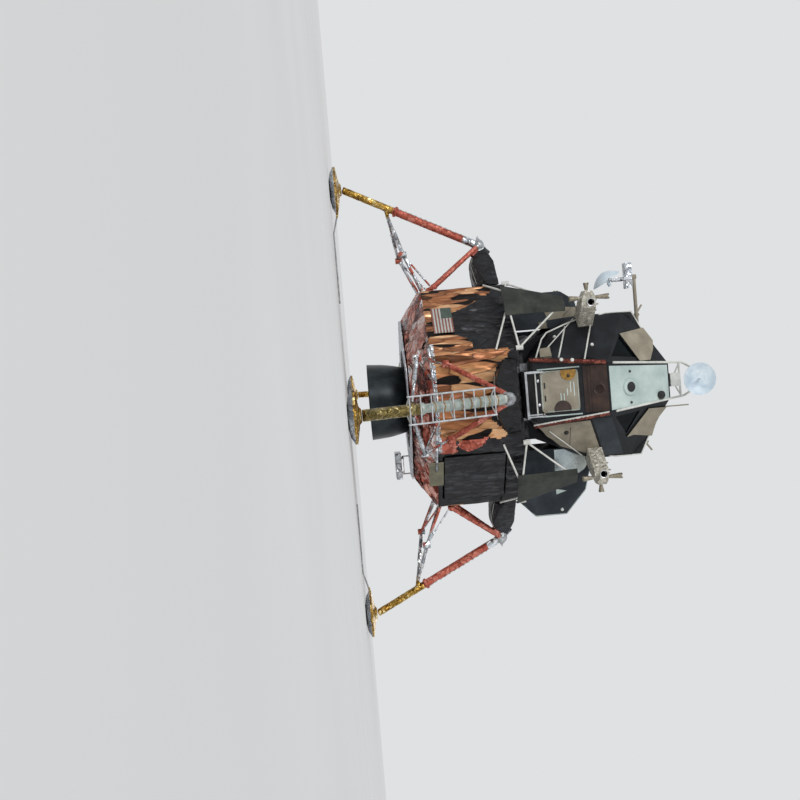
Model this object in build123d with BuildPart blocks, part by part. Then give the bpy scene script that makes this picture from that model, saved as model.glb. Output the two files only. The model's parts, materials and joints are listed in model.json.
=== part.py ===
from build123d import *
import os
from math import cos, radians, sin

# Two-stage lunar module standing on its four pads. Millimetres. The ladder and
# the forward hatch face -Y, the craft's port side is +X, and z = 0 is the
# floor under the pads, straight below the descent engine.

# Descent stage
deck_height = 3231
body_bottom = 1575
body_apothem = 2110
base_height = 1150
base_half_x = 1570
base_half_y = 1360
base_corner_x = 610
base_corner_y = 400
plate_thickness = 30
engine_opening_radius = 970

# Landing gear, out from the centre line and up from the floor
leg_reach = 4250
pad_radius = 470
pad_ball_height = 250
knee_reach = 2940
knee_height = 2860
strut_diameter = 165
side_strut_joint = (3630, 1110)
truss_node = (2820, 850, 1300)
outrigger_foot = (2150, 690, 1850)

# Descent engine
gimbal_height = 2050
bell_exit_height = 440
bell_exit_radius = 755
bell_wall = 14
pin_radius = 25
running_clearance = 0.05
pin_bore = 2 * (pin_radius + running_clearance)

# Ascent stage
cabin_bottom = 3500
cabin_wall = 70
rim_front = -1150
mid_front = -690
mid_back = 690
roof_height = 5850
tunnel_top = 6170
tunnel_radius = 405
hatch_plane = -1800
nose_front = -1970
quad_offset = 1660
quad_height = 4640

# name, bearing of the leg in degrees, lower strut diameter, contact probe
legs = (
    ("front", -90, 210, False),
    ("port", 0, 150, True),
    ("aft", 90, 150, True),
    ("starboard", 180, 150, True),
)

os.makedirs("parts", exist_ok=True)


def spot(bearing, out, side, up):
    """The point that far out, to the side and up on the leg with this bearing."""
    turn = radians(bearing)
    return Vector(out * cos(turn) - side * sin(turn), out * sin(turn) + side * cos(turn), up)


def between(start, end, share):
    """The point at this share of the way from start to end."""
    return start + (end - start) * share


def rod(start, end, diameter, mode=Mode.ADD):
    """A round bar from start to end in the part being built."""
    along = Vector(end) - Vector(start)
    with Locations(Plane(origin=start, z_dir=along)):
        Cylinder(diameter / 2, along.length, align=(Align.CENTER, Align.CENTER, Align.MIN), mode=mode)


def ball(centre, radius):
    """A round fitting in the part being built."""
    with Locations(Vector(centre)):
        Sphere(radius)


def turned(points):
    """A sketch face in the XZ plane from (radius, height) points, to be revolved."""
    with BuildSketch(Plane.XZ) as face:
        with BuildLine():
            Polyline(*points, close=True)
        make_face()
    return face.sketch


# Footpads: a shallow dish with an upright rim, a cone above and a ball socket
pad_profile = (
    (0, 0), (190, 0), (350, 28), (pad_radius, 95), (pad_radius, 145), (150, 200), (110, 240), (0, 240),
)
footpads = {}
struts = {}
for name, bearing, lower_diameter, has_probe in legs:
    with BuildPart() as footpad:
        with Locations(spot(bearing, leg_reach, 0, 0)):
            add(revolve(turned(pad_profile), axis=Axis.Z, mode=Mode.PRIVATE))
        if has_probe:
            with Locations(Plane(origin=spot(bearing, leg_reach - pad_radius - 35, 0, 110),
                                 x_dir=spot(bearing, 1, 0, 0), z_dir=(0, 0, 1))):
                for side in (-1, 1):
                    with Locations((15, side * 32, 0)):
                        Box(120, 12, 56)
                with Locations((0, 0, 0)):
                    Cylinder(8, 76, rotation=(90, 0, 0))
    footpads[name] = footpad.part
    footpad.part.label = f"footpad_{name}"
    export_step(footpad.part, f"parts/footpad_{name}.step")

# Primary struts: an outer cylinder from the knee and a wrapped piston in the pad. The front
# one's sleeve has collars down it
collar_shares = [0.10 + 0.0623 * step for step in range(8)]
collar_length = 24
collar_diameter = strut_diameter + 44
for name, bearing, lower_diameter, has_probe in legs:
    knee = spot(bearing, knee_reach, 0, knee_height)
    pad = spot(bearing, leg_reach, 0, pad_ball_height)
    with BuildPart() as strut:
        rod(knee, between(knee, pad, 0.62), strut_diameter)
        rod(between(knee, pad, 0.60), pad, lower_diameter)
        rod(between(knee, pad, 0.60), between(knee, pad, 0.62), strut_diameter + 60)
        ball(knee, 110)
        rod(spot(bearing, side_strut_joint[0], -120, side_strut_joint[1]),
            spot(bearing, side_strut_joint[0], 120, side_strut_joint[1]), 70)
        rod(spot(bearing, side_strut_joint[0], 0, side_strut_joint[1]),
            between(knee, pad, 0.685), 80)
        if name == "front":
            along = (pad - knee).normalized()
            for share in collar_shares:
                collar = between(knee, pad, share)
                rod(collar, collar + along * collar_length, collar_diameter)
        add(footpads[name], mode=Mode.SUBTRACT)
    struts[name] = strut.part
    strut.part.label = f"primary_strut_{name}"
    export_step(strut.part, f"parts/primary_strut_{name}.step")

# Side struts: a fat outer tube and a slim piston each side of the primary strut
side_strut_pairs = {}
for name, bearing, lower_diameter, has_probe in legs:
    with BuildPart() as side_struts:
        for side in (-1, 1):
            inner = spot(bearing, side_strut_joint[0], side * 121, side_strut_joint[1])
            outer = spot(bearing, truss_node[0] + 30, side * truss_node[1], truss_node[2])
            rod(outer, between(outer, inner, 0.62), 84)
            rod(between(outer, inner, 0.6), inner, 56)
        add(struts[name], mode=Mode.SUBTRACT)
    side_strut_pairs[name] = side_struts.part
    side_struts.part.label = f"side_struts_{name}"
    export_step(side_struts.part, f"parts/side_struts_{name}.step")

# Descent stage body: an octagon with a shallow keel down to the base plate
octagon_half = body_apothem * (2**0.5 - 1)
base_outline = (
    (base_half_x, base_corner_y), (base_corner_x, base_half_y), (-base_corner_x, base_half_y),
    (-base_half_x, base_corner_y), (-base_half_x, -base_corner_y), (-base_corner_x, -base_half_y),
    (base_corner_x, -base_half_y), (base_half_x, -base_corner_y),
)
body_outline = (
    (body_apothem, octagon_half), (octagon_half, body_apothem), (-octagon_half, body_apothem),
    (-body_apothem, octagon_half), (-body_apothem, -octagon_half), (-octagon_half, -body_apothem),
    (octagon_half, -body_apothem), (body_apothem, -octagon_half),
)
bay_half = 1000
bay_corner = 700
bay_low = base_height + plate_thickness
bay_ceiling = 2600
bay_outline = (
    (bay_half, bay_corner), (bay_corner, bay_half), (-bay_corner, bay_half), (-bay_half, bay_corner),
    (-bay_half, -bay_corner), (-bay_corner, -bay_half), (bay_corner, -bay_half), (bay_half, -bay_corner),
)
gimbal_beam = (380, 120, 160)
pallet_width = 1250
pallet_depth = 200
pallet_low = 1700
pallet_high = 2850
pallet_gap = 8
pallet_pivot = 25
port_front = Plane(origin=(0, 0, 0), x_dir=(1, 1, 0), z_dir=(0, 0, 1))
with BuildPart() as descent_body:
    with BuildSketch(Plane.XY.offset(body_bottom)):
        with BuildLine():
            Polyline(*body_outline, close=True)
        make_face()
    extrude(amount=deck_height - body_bottom)
    with BuildSketch(Plane.XY.offset(base_height + plate_thickness)):
        with BuildLine():
            Polyline(*base_outline, close=True)
        make_face()
    with BuildSketch(Plane.XY.offset(body_bottom)):
        with BuildLine():
            Polyline(*body_outline, close=True)
        make_face()
    loft(ruled=True)
    with BuildSketch(Plane.XY.offset(bay_low)):
        with BuildLine():
            Polyline(*bay_outline, close=True)
        make_face()
    extrude(amount=bay_ceiling - bay_low, mode=Mode.SUBTRACT)
    # beams across the bay that carry the gimbal ring's pins
    beam_start, beam_width, beam_depth = gimbal_beam
    for side in (-1, 1):
        with Locations((side * (beam_start + bay_half + 10) / 2, 0, gimbal_height)):
            Box(bay_half + 10 - beam_start, beam_width, beam_depth)
    rod((-450, 0, gimbal_height), (450, 0, gimbal_height), pin_bore, Mode.SUBTRACT)
    with Locations(port_front.location):
        with Locations((0, -body_apothem + pallet_depth / 2, (pallet_low + pallet_high) / 2)):
            Box(pallet_width + 2 * pallet_gap, pallet_depth + 2 * pallet_gap + 40,
                pallet_high - pallet_low + 2 * pallet_gap, mode=Mode.SUBTRACT)
        with Locations((0, -body_apothem + pallet_pivot, pallet_low + pallet_pivot)):
            Cylinder(12.05, pallet_width + 70, rotation=(0, 90, 0), mode=Mode.SUBTRACT)
descent_body.part.label = "descent_body"
export_step(descent_body.part, "parts/descent_body.step")

# Base plate: the bright heat shield under the keel, open round the engine
with BuildPart() as base_plate:
    with BuildSketch(Plane.XY.offset(base_height)):
        with BuildLine():
            Polyline(*base_outline, close=True)
        make_face()
        Circle(engine_opening_radius, mode=Mode.SUBTRACT)
    extrude(amount=plate_thickness)
base_plate.part.label = "base_plate"
export_step(base_plate.part, "parts/base_plate.step")

# Engine bay lining: a cone that narrows upwards round the bell
lining_wall = 15
lining_top = 1950
lining_neck = 680
with BuildPart() as bay_lining:
    lining = (
        (bay_half - lining_wall, bay_low), (bay_half, bay_low),
        (lining_neck, lining_top), (lining_neck - lining_wall, lining_top),
    )
    add(revolve(turned(lining), axis=Axis.Z, mode=Mode.PRIVATE))
bay_lining.part.label = "bay_lining"
export_step(bay_lining.part, "parts/bay_lining.step")

# Descent engine: bell, chamber with its pins, and the gimbal ring between
with BuildPart() as engine_bell:
    with BuildSketch(Plane.XZ):
        with BuildLine():
            Line((bell_exit_radius, bell_exit_height), (740, 640))
            ThreePointArc((740, 640), (570, 1350), (150, 2000))
            Line((150, 2000), (150 - bell_wall, 2000))
            ThreePointArc((150 - bell_wall, 2000), (570 - bell_wall, 1350), (740 - bell_wall, 640))
            Line((740 - bell_wall, 640), (bell_exit_radius - bell_wall, bell_exit_height))
            Line((bell_exit_radius - bell_wall, bell_exit_height), (bell_exit_radius, bell_exit_height))
        make_face()
    revolve(axis=Axis.Z)
engine_bell.part.label = "engine_bell"
export_step(engine_bell.part, "parts/engine_bell.step")

ring_inner = 300
ring_outer = 345
with BuildPart() as engine_chamber:
    chamber = ((0, 2000), (190, 2000), (230, 2120), (230, 2330), (150, 2420), (0, 2420))
    add(revolve(turned(chamber), axis=Axis.Z, mode=Mode.PRIVATE))
    rod((0, -380, gimbal_height), (0, 380, gimbal_height), 2 * pin_radius)
engine_chamber.part.label = "engine_chamber"
export_step(engine_chamber.part, "parts/engine_chamber.step")

with BuildPart() as gimbal_ring:
    with Locations((0, 0, gimbal_height)):
        Cylinder(ring_outer, 90)
        Cylinder(ring_inner, 90, mode=Mode.SUBTRACT)
    rod((0, -400, gimbal_height), (0, 400, gimbal_height), pin_bore, Mode.SUBTRACT)
    for side in (-1, 1):
        rod((side * 322, 0, gimbal_height), (side * 435, 0, gimbal_height), 2 * pin_radius)
gimbal_ring.part.label = "gimbal_ring"
export_step(gimbal_ring.part, "parts/gimbal_ring.step")

# Outriggers: an upper frame under a hanging cover and two bare lower tubes to each knee, which
# ends in a small cone (its radius and length)
cover_root = 700
cover_nose = 70
cover_reach = 2880
cover_top = 3140
# the cover hangs like a hammock: its sag out along the leg (out, up) and across it (across, up)
cover_sag = ((body_apothem, 2720), (2400, 2655), (cover_reach, 2830))
cover_hang = ((-cover_root, 2950), (0, 2640), (cover_root, 2950))
cover_crown = ((cover_reach, 2990), (2600, 3115), (body_apothem, cover_top))
knee_ball = 130
knee_tip = (48, 95)
outriggers = {}
for name, bearing, lower_diameter, has_probe in legs:
    side_plane = Plane(origin=(0, 0, 0), x_dir=spot(bearing, 1, 0, 0), z_dir=(0, 0, 1))
    side_view = Plane(origin=(0, 0, 0), x_dir=spot(bearing, 1, 0, 0), z_dir=spot(bearing, 0, -1, 0))
    front_view = Plane(origin=(0, 0, 0), x_dir=spot(bearing, 0, 1, 0), z_dir=spot(bearing, 1, 0, 0))
    knee = spot(bearing, knee_reach, 0, knee_height)
    with BuildPart() as outrigger:
        with BuildSketch(side_plane.offset(cover_hang[1][1])):
            with BuildLine():
                Polyline((body_apothem, -cover_root), (cover_reach, -cover_nose), (cover_reach, cover_nose),
                         (body_apothem, cover_root), close=True)
            make_face()
        extrude(amount=cover_top - cover_hang[1][1])
        with BuildSketch(side_view):
            with BuildLine():
                ThreePointArc(*cover_sag)
                Polyline(cover_sag[2], *cover_crown, cover_sag[0])
            make_face()
        extrude(amount=knee_reach, both=True, mode=Mode.INTERSECT)
        with BuildSketch(front_view):
            with BuildLine():
                ThreePointArc(*cover_hang)
                Polyline(cover_hang[2], (cover_root, cover_top), (-cover_root, cover_top), cover_hang[0])
            make_face()
        extrude(amount=knee_reach, mode=Mode.INTERSECT)
        for side in (-1, 1):
            rod(spot(bearing, knee_reach, side * 60, knee_height),
                spot(bearing, outrigger_foot[0], side * outrigger_foot[1], outrigger_foot[2]), 110)
            rod(spot(bearing, outrigger_foot[0], side * (outrigger_foot[1] - 75), outrigger_foot[2]),
                spot(bearing, outrigger_foot[0], side * (outrigger_foot[1] + 75), outrigger_foot[2]), 150)
        rod(knee, spot(bearing, knee_reach - 190, 0, 3050), 150)
        ball(knee, knee_ball)
        with Locations(Plane(origin=spot(bearing, knee_reach + knee_ball - 15, 0, knee_height),
                             z_dir=spot(bearing, 1, 0, 0))):
            Cone(knee_tip[0], 6, knee_tip[1], align=(Align.CENTER, Align.CENTER, Align.MIN))
        add(struts[name], mode=Mode.SUBTRACT)
        add(descent_body.part, mode=Mode.SUBTRACT)
    outriggers[name] = outrigger.part
    outrigger.part.label = f"outrigger_{name}"
    export_step(outrigger.part, f"parts/outrigger_{name}.step")

# Gear trusses: from the body's lower edge and the outrigger's foot to the side struts
half_trusses = []
for name, bearing, lower_diameter, has_probe in legs:
    for side in (-1, 1):
        node = spot(bearing, truss_node[0], side * truss_node[1], truss_node[2])
        with BuildPart() as half_truss:
            rod(spot(bearing, body_apothem - 40, side * 790, 1640), node, 60)
            rod(spot(bearing, body_apothem - 40, side * 330, 1640), node, 50)
            rod(spot(bearing, outrigger_foot[0], side * outrigger_foot[1], outrigger_foot[2] - 30), node, 44)
            rod(node - Vector(0, 0, 75), node + Vector(0, 0, 75), 130)
            add(side_strut_pairs[name], mode=Mode.SUBTRACT)
            add(outriggers[name], mode=Mode.SUBTRACT)
            add(descent_body.part, mode=Mode.SUBTRACT)
        half_trusses.append(half_truss.part)
with BuildPart() as gear_trusses:
    for half in half_trusses:
        add(half)
gear_trusses.part.label = "gear_trusses"
export_step(gear_trusses.part, "parts/gear_trusses.step")

# Contact probes: folded flat on the floor, hinged on the pad's inner side
probe_hinge = (leg_reach - pad_radius - 35, 110)
probe_length = 1730
probe_diameter = 30
for name, bearing, lower_diameter, has_probe in legs:
    if not has_probe:
        continue
    floor_line = probe_diameter / 2 + 3
    hinge = spot(bearing, probe_hinge[0], 0, probe_hinge[1])
    bend = spot(bearing, probe_hinge[0] - 190, 0, floor_line + 40)
    lie = spot(bearing, probe_hinge[0] - 330, 0, floor_line)
    tip = spot(bearing, probe_hinge[0] - probe_length, 0, floor_line)
    with BuildPart() as probe:
        rod(spot(bearing, probe_hinge[0], -25, probe_hinge[1]),
            spot(bearing, probe_hinge[0], 25, probe_hinge[1]), 50)
        rod(hinge, bend, 34)
        rod(bend, lie, probe_diameter)
        rod(lie, tip, probe_diameter)
        rod(between(lie, tip, 0.62), between(lie, tip, 0.64), 34)
        rod(between(lie, tip, 0.985), tip, 34)
        ball(bend, 17)
        ball(lie, 15)
        rod(spot(bearing, probe_hinge[0], -30, probe_hinge[1]),
            spot(bearing, probe_hinge[0], 30, probe_hinge[1]), 2 * (8 + running_clearance), Mode.SUBTRACT)
    probe.part.label = f"contact_probe_{name}"
    export_step(probe.part, f"parts/contact_probe_{name}.step")

# Ladder: rails and rungs stood off the front primary strut
ladder_half = 235
rung_pitch = 213
rung_count = 9
front_knee = spot(-90, knee_reach, 0, knee_height)
front_pad = spot(-90, leg_reach, 0, pad_ball_height)
down_strut = (front_pad - front_knee).normalized()
off_strut = Vector(0, down_strut.Z, -down_strut.Y).normalized()
ladder_top = front_knee + down_strut * 420 + off_strut * 190
with BuildPart() as ladder:
    for side in (-1, 1):
        top = ladder_top + Vector(side * ladder_half, 0, 0)
        rod(top - down_strut * 20, top + down_strut * (rung_pitch * (rung_count - 1) + 40), 32)
        for step in (0, 4, 8):
            rail = top + down_strut * rung_pitch * step
            rod(rail, rail - off_strut * 190 - Vector(side * ladder_half, 0, 0), 24)
    for step in range(rung_count):
        rung = ladder_top + down_strut * rung_pitch * step
        rod(rung - Vector(ladder_half, 0, 0), rung + Vector(ladder_half, 0, 0), 26)
    add(struts["front"], mode=Mode.SUBTRACT)
ladder.part.label = "ladder"
export_step(ladder.part, "parts/ladder.step")

# Porch: the platform outside the hatch with its two handrails
porch_half = 430
porch_back = -1880
porch_front = -2480
with BuildPart() as porch:
    with Locations((0, (porch_back + porch_front) / 2, deck_height + 20)):
        Box(2 * porch_half, porch_back - porch_front, 40)
    for side in (-1, 1):
        x = side * (porch_half - 30)
        rod((x, porch_front + 30, deck_height + 30), (x, porch_front + 30, 3580), 30)
        rod((x, porch_front, 3550), (x, porch_back, 3610), 26)
        rod((x, porch_back - 30, deck_height + 30), (x, porch_back - 30, 3640), 30)
porch.part.label = "porch"
export_step(porch.part, "parts/porch.step")

# Stowage pallet: folds down from the port front quarter of the body
with BuildPart() as stowage_pallet:
    with Locations(port_front.location):
        with Locations((0, -body_apothem + pallet_depth / 2, (pallet_low + pallet_high) / 2)):
            Box(pallet_width, pallet_depth, pallet_high - pallet_low)
        with Locations((0, -body_apothem + pallet_pivot, pallet_low + pallet_pivot)):
            Cylinder(12, pallet_width + 60, rotation=(0, 90, 0))
    low_edge = stowage_pallet.edges().filter_by(Axis((0, 0, 0), (1, 1, 0))).sort_by(Axis.Z)[:2]
    fillet(low_edge.sort_by(Axis((0, 0, 0), (1, -1, 0)))[-1], pallet_pivot - 0.5)
stowage_pallet.part.label = "stowage_pallet"
export_step(stowage_pallet.part, "parts/stowage_pallet.step")

# Landing radar: a tilting antenna box on a bracket under the port aft keel
radar_pivot = (1430, 1180, 1060)
radar_pin = 24
with BuildPart() as landing_radar:
    with Locations((radar_pivot[0], radar_pivot[1], radar_pivot[2] - 110)):
        Box(560, 480, 130)
    rod((radar_pivot[0] - 200, radar_pivot[1], radar_pivot[2]),
        (radar_pivot[0] + 200, radar_pivot[1], radar_pivot[2]), radar_pin)
    for side in (-1, 1):
        with Locations((radar_pivot[0] + side * 150, radar_pivot[1], radar_pivot[2] - 20)):
            Box(30, 60, 70)
landing_radar.part.label = "landing_radar"
export_step(landing_radar.part, "parts/landing_radar.step")

with BuildPart() as landing_radar_bracket:
    for side in (-1, 1):
        x = radar_pivot[0] + side * 185
        rod((x, radar_pivot[1] - 15, radar_pivot[2]), (x, radar_pivot[1], 1500), 30)
        with Locations((x, radar_pivot[1], radar_pivot[2])):
            Cylinder(30, 24, rotation=(0, 90, 0))
    rod((radar_pivot[0] - 230, radar_pivot[1], radar_pivot[2]),
        (radar_pivot[0] + 230, radar_pivot[1], radar_pivot[2]),
        radar_pin + 2 * running_clearance, Mode.SUBTRACT)
    add(descent_body.part, mode=Mode.SUBTRACT)
landing_radar_bracket.part.label = "landing_radar_bracket"
export_step(landing_radar_bracket.part, "parts/landing_radar_bracket.step")


# Cabin: the front outline, its canted facets and the hollow inside
def cabin_section(inset):
    """The cabin's cross-section, smaller by the inset."""
    with BuildSketch() as section:
        with BuildLine():
            Polyline((0, 6160), (330, 6160), (1050, 5710), (1370, 5550), (1370, 5030))
            ThreePointArc((1370, 5030), (1190, 4130), (560, cabin_bottom))
            Line((560, cabin_bottom), (0, cabin_bottom))
            mirror(about=Plane.YZ)
        make_face()
        if inset:
            offset(amount=-inset, kind=Kind.INTERSECTION, mode=Mode.REPLACE)
    return section.sketch


# A point that both front facets of a side share, the ways they face, and the top slope
nose_height = 4860
facet_corner = (470, nose_front, nose_height)
lower_facing = (0.672, -0.741, -0.017)
upper_facing = (0.443, -0.778, 0.444)
slope_facing = (0, -1280, 650)


def facet(side, facing, depth):
    """The plane this deep under a front facet of this side of the cabin."""
    outward = Vector(side * facing[0], facing[1], facing[2]).normalized()
    start = Vector(side * facet_corner[0], facet_corner[1], facet_corner[2])
    return Plane(origin=start - outward * depth, z_dir=outward)


def cabin_block(inset, back):
    """The closed front block of the cabin from its carved face to a back plane."""
    with BuildPart() as block:
        with BuildSketch(Plane.XZ.offset(-back)):
            add(cabin_section(inset))
        extrude(amount=back - nose_front)
        for facing in (lower_facing, upper_facing):
            for side in (1, -1):
                split(bisect_by=facet(side, facing, inset), keep=Keep.BOTTOM)
        outward = Vector(*slope_facing).normalized()
        split(bisect_by=Plane(origin=Vector(0, nose_front, nose_height) - outward * inset, z_dir=outward),
              keep=Keep.BOTTOM)
        with BuildSketch(Plane.YZ.offset(-700)):
            with BuildLine():
                Polyline(
                    (nose_front - 100, 3300), (hatch_plane + inset, 3300),
                    (hatch_plane + inset, 4400 + inset),
                    (nose_front + inset, nose_height + 0.6 * inset),
                    (nose_front - 100, nose_height + 0.6 * inset), close=True,
                )
            make_face()
        extrude(amount=1400, mode=Mode.SUBTRACT)
    return block.part


def facet_plate(side, corners, low, high):
    """A plate of this outline, seen from the front, between two depths under the upper facet."""
    with BuildPart() as plate:
        with BuildSketch(Plane.XZ.offset(-nose_front + 100)):
            with BuildLine():
                Polyline(*[(side * x, z) for x, z in corners], close=True)
            make_face()
        extrude(amount=-1300)
        split(bisect_by=facet(side, upper_facing, high), keep=Keep.BOTTOM)
        split(bisect_by=facet(side, upper_facing, low), keep=Keep.TOP)
    return plate.part


hatch_low = 3600
hatch_high = 4340
hatch_half = 400
hatch_corner = 90
hinge_line = (-410, -1715)
hinge_heights = (3780, 4160)
hinge_pin = 10
hinge_bore = hinge_pin + 2 * running_clearance
window_corners = ((505, 5490), (925, 5215), (565, 4965))
cabin_outside = cabin_block(0, rim_front)
cabin_inside = cabin_block(cabin_wall, rim_front + 1)
with BuildPart() as cabin_face:
    add(cabin_outside)
    add(cabin_inside, mode=Mode.SUBTRACT)
    with BuildSketch(Plane.XZ.offset(-nose_front)):
        with Locations((0, (hatch_low + hatch_high) / 2)):
            RectangleRounded(2 * hatch_half, hatch_high - hatch_low, hatch_corner)
    extrude(amount=-400, mode=Mode.SUBTRACT)
    for side in (-1, 1):
        with BuildSketch(Plane.XZ.offset(-nose_front)):
            with BuildLine():
                Polyline(*[(side * x, z) for x, z in window_corners], close=True)
            make_face()
        extrude(amount=-700, mode=Mode.SUBTRACT)
    # lugs and pins that the forward hatch swings on
    for height in hinge_heights:
        for up in (-1, 1):
            with Locations((hinge_line[0] - 4, hinge_line[1] - 5, height + up * 42)):
                Box(24, 30, 14)
        rod((hinge_line[0], hinge_line[1], height - 45),
            (hinge_line[0], hinge_line[1], height + 45), hinge_pin)
cabin_face.part.label = "cabin_face"
export_step(cabin_face.part, "parts/cabin_face.step")

with BuildPart() as cabin_shell:
    with BuildSketch(Plane.XZ.offset(-mid_front)):
        add(cabin_section(0))
    extrude(amount=mid_front - rim_front)
    with BuildSketch(Plane.XZ.offset(-mid_front)):
        add(cabin_section(cabin_wall))
    extrude(amount=mid_front - rim_front, mode=Mode.SUBTRACT)
cabin_shell.part.label = "cabin_shell"
export_step(cabin_shell.part, "parts/cabin_shell.step")

# Forward hatch: a panel that seats in the opening and swings inwards on two knuckles
hatch_gap = 10
hatch_thickness = 40
with BuildPart() as forward_hatch:
    with BuildSketch(Plane.XZ.offset(-hatch_plane)):
        with Locations((0, (hatch_low + hatch_high) / 2)):
            RectangleRounded(2 * (hatch_half - hatch_gap), hatch_high - hatch_low - 2 * hatch_gap,
                             hatch_corner - hatch_gap)
    extrude(amount=-hatch_thickness)
    for height in hinge_heights:
        with Locations((-381, (hatch_plane + hinge_line[1]) / 2 + 20, height)):
            Box(14, 100, 50)
        with Locations((-392, hinge_line[1] + 2, height)):
            Box(36, 14, 50)
        with Locations((hinge_line[0], hinge_line[1], height)):
            Cylinder(10, 60)
        rod((hinge_line[0], hinge_line[1], height - 60), (hinge_line[0], hinge_line[1], height + 60),
            hinge_bore, Mode.SUBTRACT)
forward_hatch.part.label = "forward_hatch"
export_step(forward_hatch.part, "parts/forward_hatch.step")

# Window glass: the two triangular front panes and the small docking pane
panes = [facet_plate(side, window_corners, 34, 20) for side in (-1, 1)]
with BuildPart() as window_glass:
    for pane in panes:
        add(pane)
    with Locations((-360, -480, roof_height - 30)):
        Box(298, 198, 14)
window_glass.part.label = "window_glass"
export_step(window_glass.part, "parts/window_glass.step")

# Midsection: the hollow middle with its roof, tunnel hole, docking window and hatch lugs
mid_wall = 70
roof_inside = roof_height - 110
overhead_hinge = (460, 5700)
overhead_half = 100
overhead_pin = 14
with BuildPart() as midsection:
    with BuildSketch(Plane.XZ.offset(-mid_back)):
        with BuildLine():
            Polyline((0, roof_height), (780, roof_height), (1100, 5560), (1180, 5000), (1180, 4100),
                     (900, 3480), (0, 3480))
            mirror(about=Plane.YZ)
        make_face()
    extrude(amount=mid_back - mid_front)
    with BuildSketch(Plane.XZ.offset(-(mid_back - mid_wall))):
        with BuildLine():
            Polyline((0, roof_inside), (700, roof_inside), (980, 5480), (1000, 5000), (1000, 4240),
                     (0, 4240))
            mirror(about=Plane.YZ)
        make_face()
    extrude(amount=mid_back - mid_wall - mid_front, mode=Mode.SUBTRACT)
    with Locations((0, 0, roof_height)):
        Cylinder(tunnel_radius, 400, mode=Mode.SUBTRACT)
    with Locations((-360, -480, roof_height)):
        Box(300, 200, 400, mode=Mode.SUBTRACT)
    for side in (-1, 1):
        with Locations((side * (overhead_half + 15), overhead_hinge[0], overhead_hinge[1] + 15)):
            Box(16, 30, 60)
    rod((-overhead_half - 20, overhead_hinge[0], overhead_hinge[1]),
        (overhead_half + 20, overhead_hinge[0], overhead_hinge[1]), overhead_pin)
midsection.part.label = "midsection"
export_step(midsection.part, "parts/midsection.step")

# Docking tunnel with its ring, and the overhead hatch, which swings down into the midsection
ring_radius = 485
ring_depth = 35
up_from_base = (Align.CENTER, Align.CENTER, Align.MIN)
down_from_top = (Align.CENTER, Align.CENTER, Align.MAX)
with BuildPart() as docking_tunnel:
    with Locations((0, 0, roof_height)):
        Cylinder(tunnel_radius + 50, tunnel_top - roof_height, align=up_from_base)
    with Locations((0, 0, tunnel_top)):
        Cylinder(ring_radius, ring_depth, align=down_from_top)
    with Locations((0, 0, roof_height)):
        Cylinder(tunnel_radius, tunnel_top - roof_height, align=up_from_base, mode=Mode.SUBTRACT)
docking_tunnel.part.label = "docking_tunnel"
export_step(docking_tunnel.part, "parts/docking_tunnel.step")

with BuildPart() as overhead_hatch:
    with Locations((0, 0, roof_inside - 12)):
        Cylinder(tunnel_radius + 35, 44, align=down_from_top)
    with Locations((0, overhead_hinge[0] - 20, overhead_hinge[1])):
        Box(2 * overhead_half - 20, 60, 18)
    with Locations((0, overhead_hinge[0], overhead_hinge[1])):
        Cylinder(14, 2 * overhead_half, rotation=(0, 90, 0))
    rod((-overhead_half - 20, overhead_hinge[0], overhead_hinge[1]),
        (overhead_half + 20, overhead_hinge[0], overhead_hinge[1]),
        overhead_pin + 2 * running_clearance, Mode.SUBTRACT)
overhead_hatch.part.label = "overhead_hatch"
export_step(overhead_hatch.part, "parts/overhead_hatch.step")

# Tank fairings each side of the midsection, the port one further out
# name, side, outline from the front: out and up
fairing_outlines = (
    ("port", 1,
     ((1180, 4760), (2030, 4520), (2480, 4110), (2480, 3500), (2240, 3270), (1180, 3270))),
    ("starboard", -1,
     ((1180, 4700), (1700, 4560), (1880, 4300), (1880, 3500), (1750, 3270), (1180, 3270))),
)
for name, side, outline in fairing_outlines:
    with BuildPart() as fairing:
        with BuildSketch(Plane.XZ.offset(-mid_back)):
            with BuildLine():
                Polyline(*[(side * out, up) for out, up in outline], close=True)
            make_face()
        extrude(amount=mid_back - mid_front)
        add(midsection.part, mode=Mode.SUBTRACT)
    fairing.part.label = f"tank_fairing_{name}"
    export_step(fairing.part, f"parts/tank_fairing_{name}.step")

# Aft equipment bay: a rack behind the midsection, its lower sides cut away round two tanks
bay_half_width = 1150
bay_back = 1950
bay_bevel = 140
bay_skirt = 1500
bay_core_half = 500
tank_radius = 260
tank_ceiling = 4000
tank_middle = (810, 1100, 3770)
rib_heights = (4200, 4650, 5100)
rib_size = (1900, 16, 40)
with BuildPart() as aft_bay:
    with BuildSketch(Plane.YZ.offset(-bay_half_width)):
        with BuildLine():
            Polyline((mid_back, 3600), (bay_skirt, 3600), (bay_back, 3900), (bay_back, 5250),
                     (1400, 5620), (mid_back, 5700), close=True)
        make_face()
    extrude(amount=2 * bay_half_width)
    chamfer(aft_bay.edges().filter_by(Axis.Z).sort_by(Axis.Y)[-2:], bay_bevel)
    for side in (-1, 1):
        with Locations((side * bay_core_half, bay_skirt, tank_ceiling)):
            Box(bay_half_width, bay_skirt - mid_back + 10, 600,
                align=(Align.MIN if side > 0 else Align.MAX, Align.MAX, Align.MAX), mode=Mode.SUBTRACT)
        ball((side * tank_middle[0], tank_middle[1], tank_middle[2]), tank_radius)
    for height in rib_heights:
        with Locations((0, bay_back, height)):
            Box(*rib_size)
aft_bay.part.label = "aft_equipment_bay"
export_step(aft_bay.part, "parts/aft_equipment_bay.step")

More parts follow.
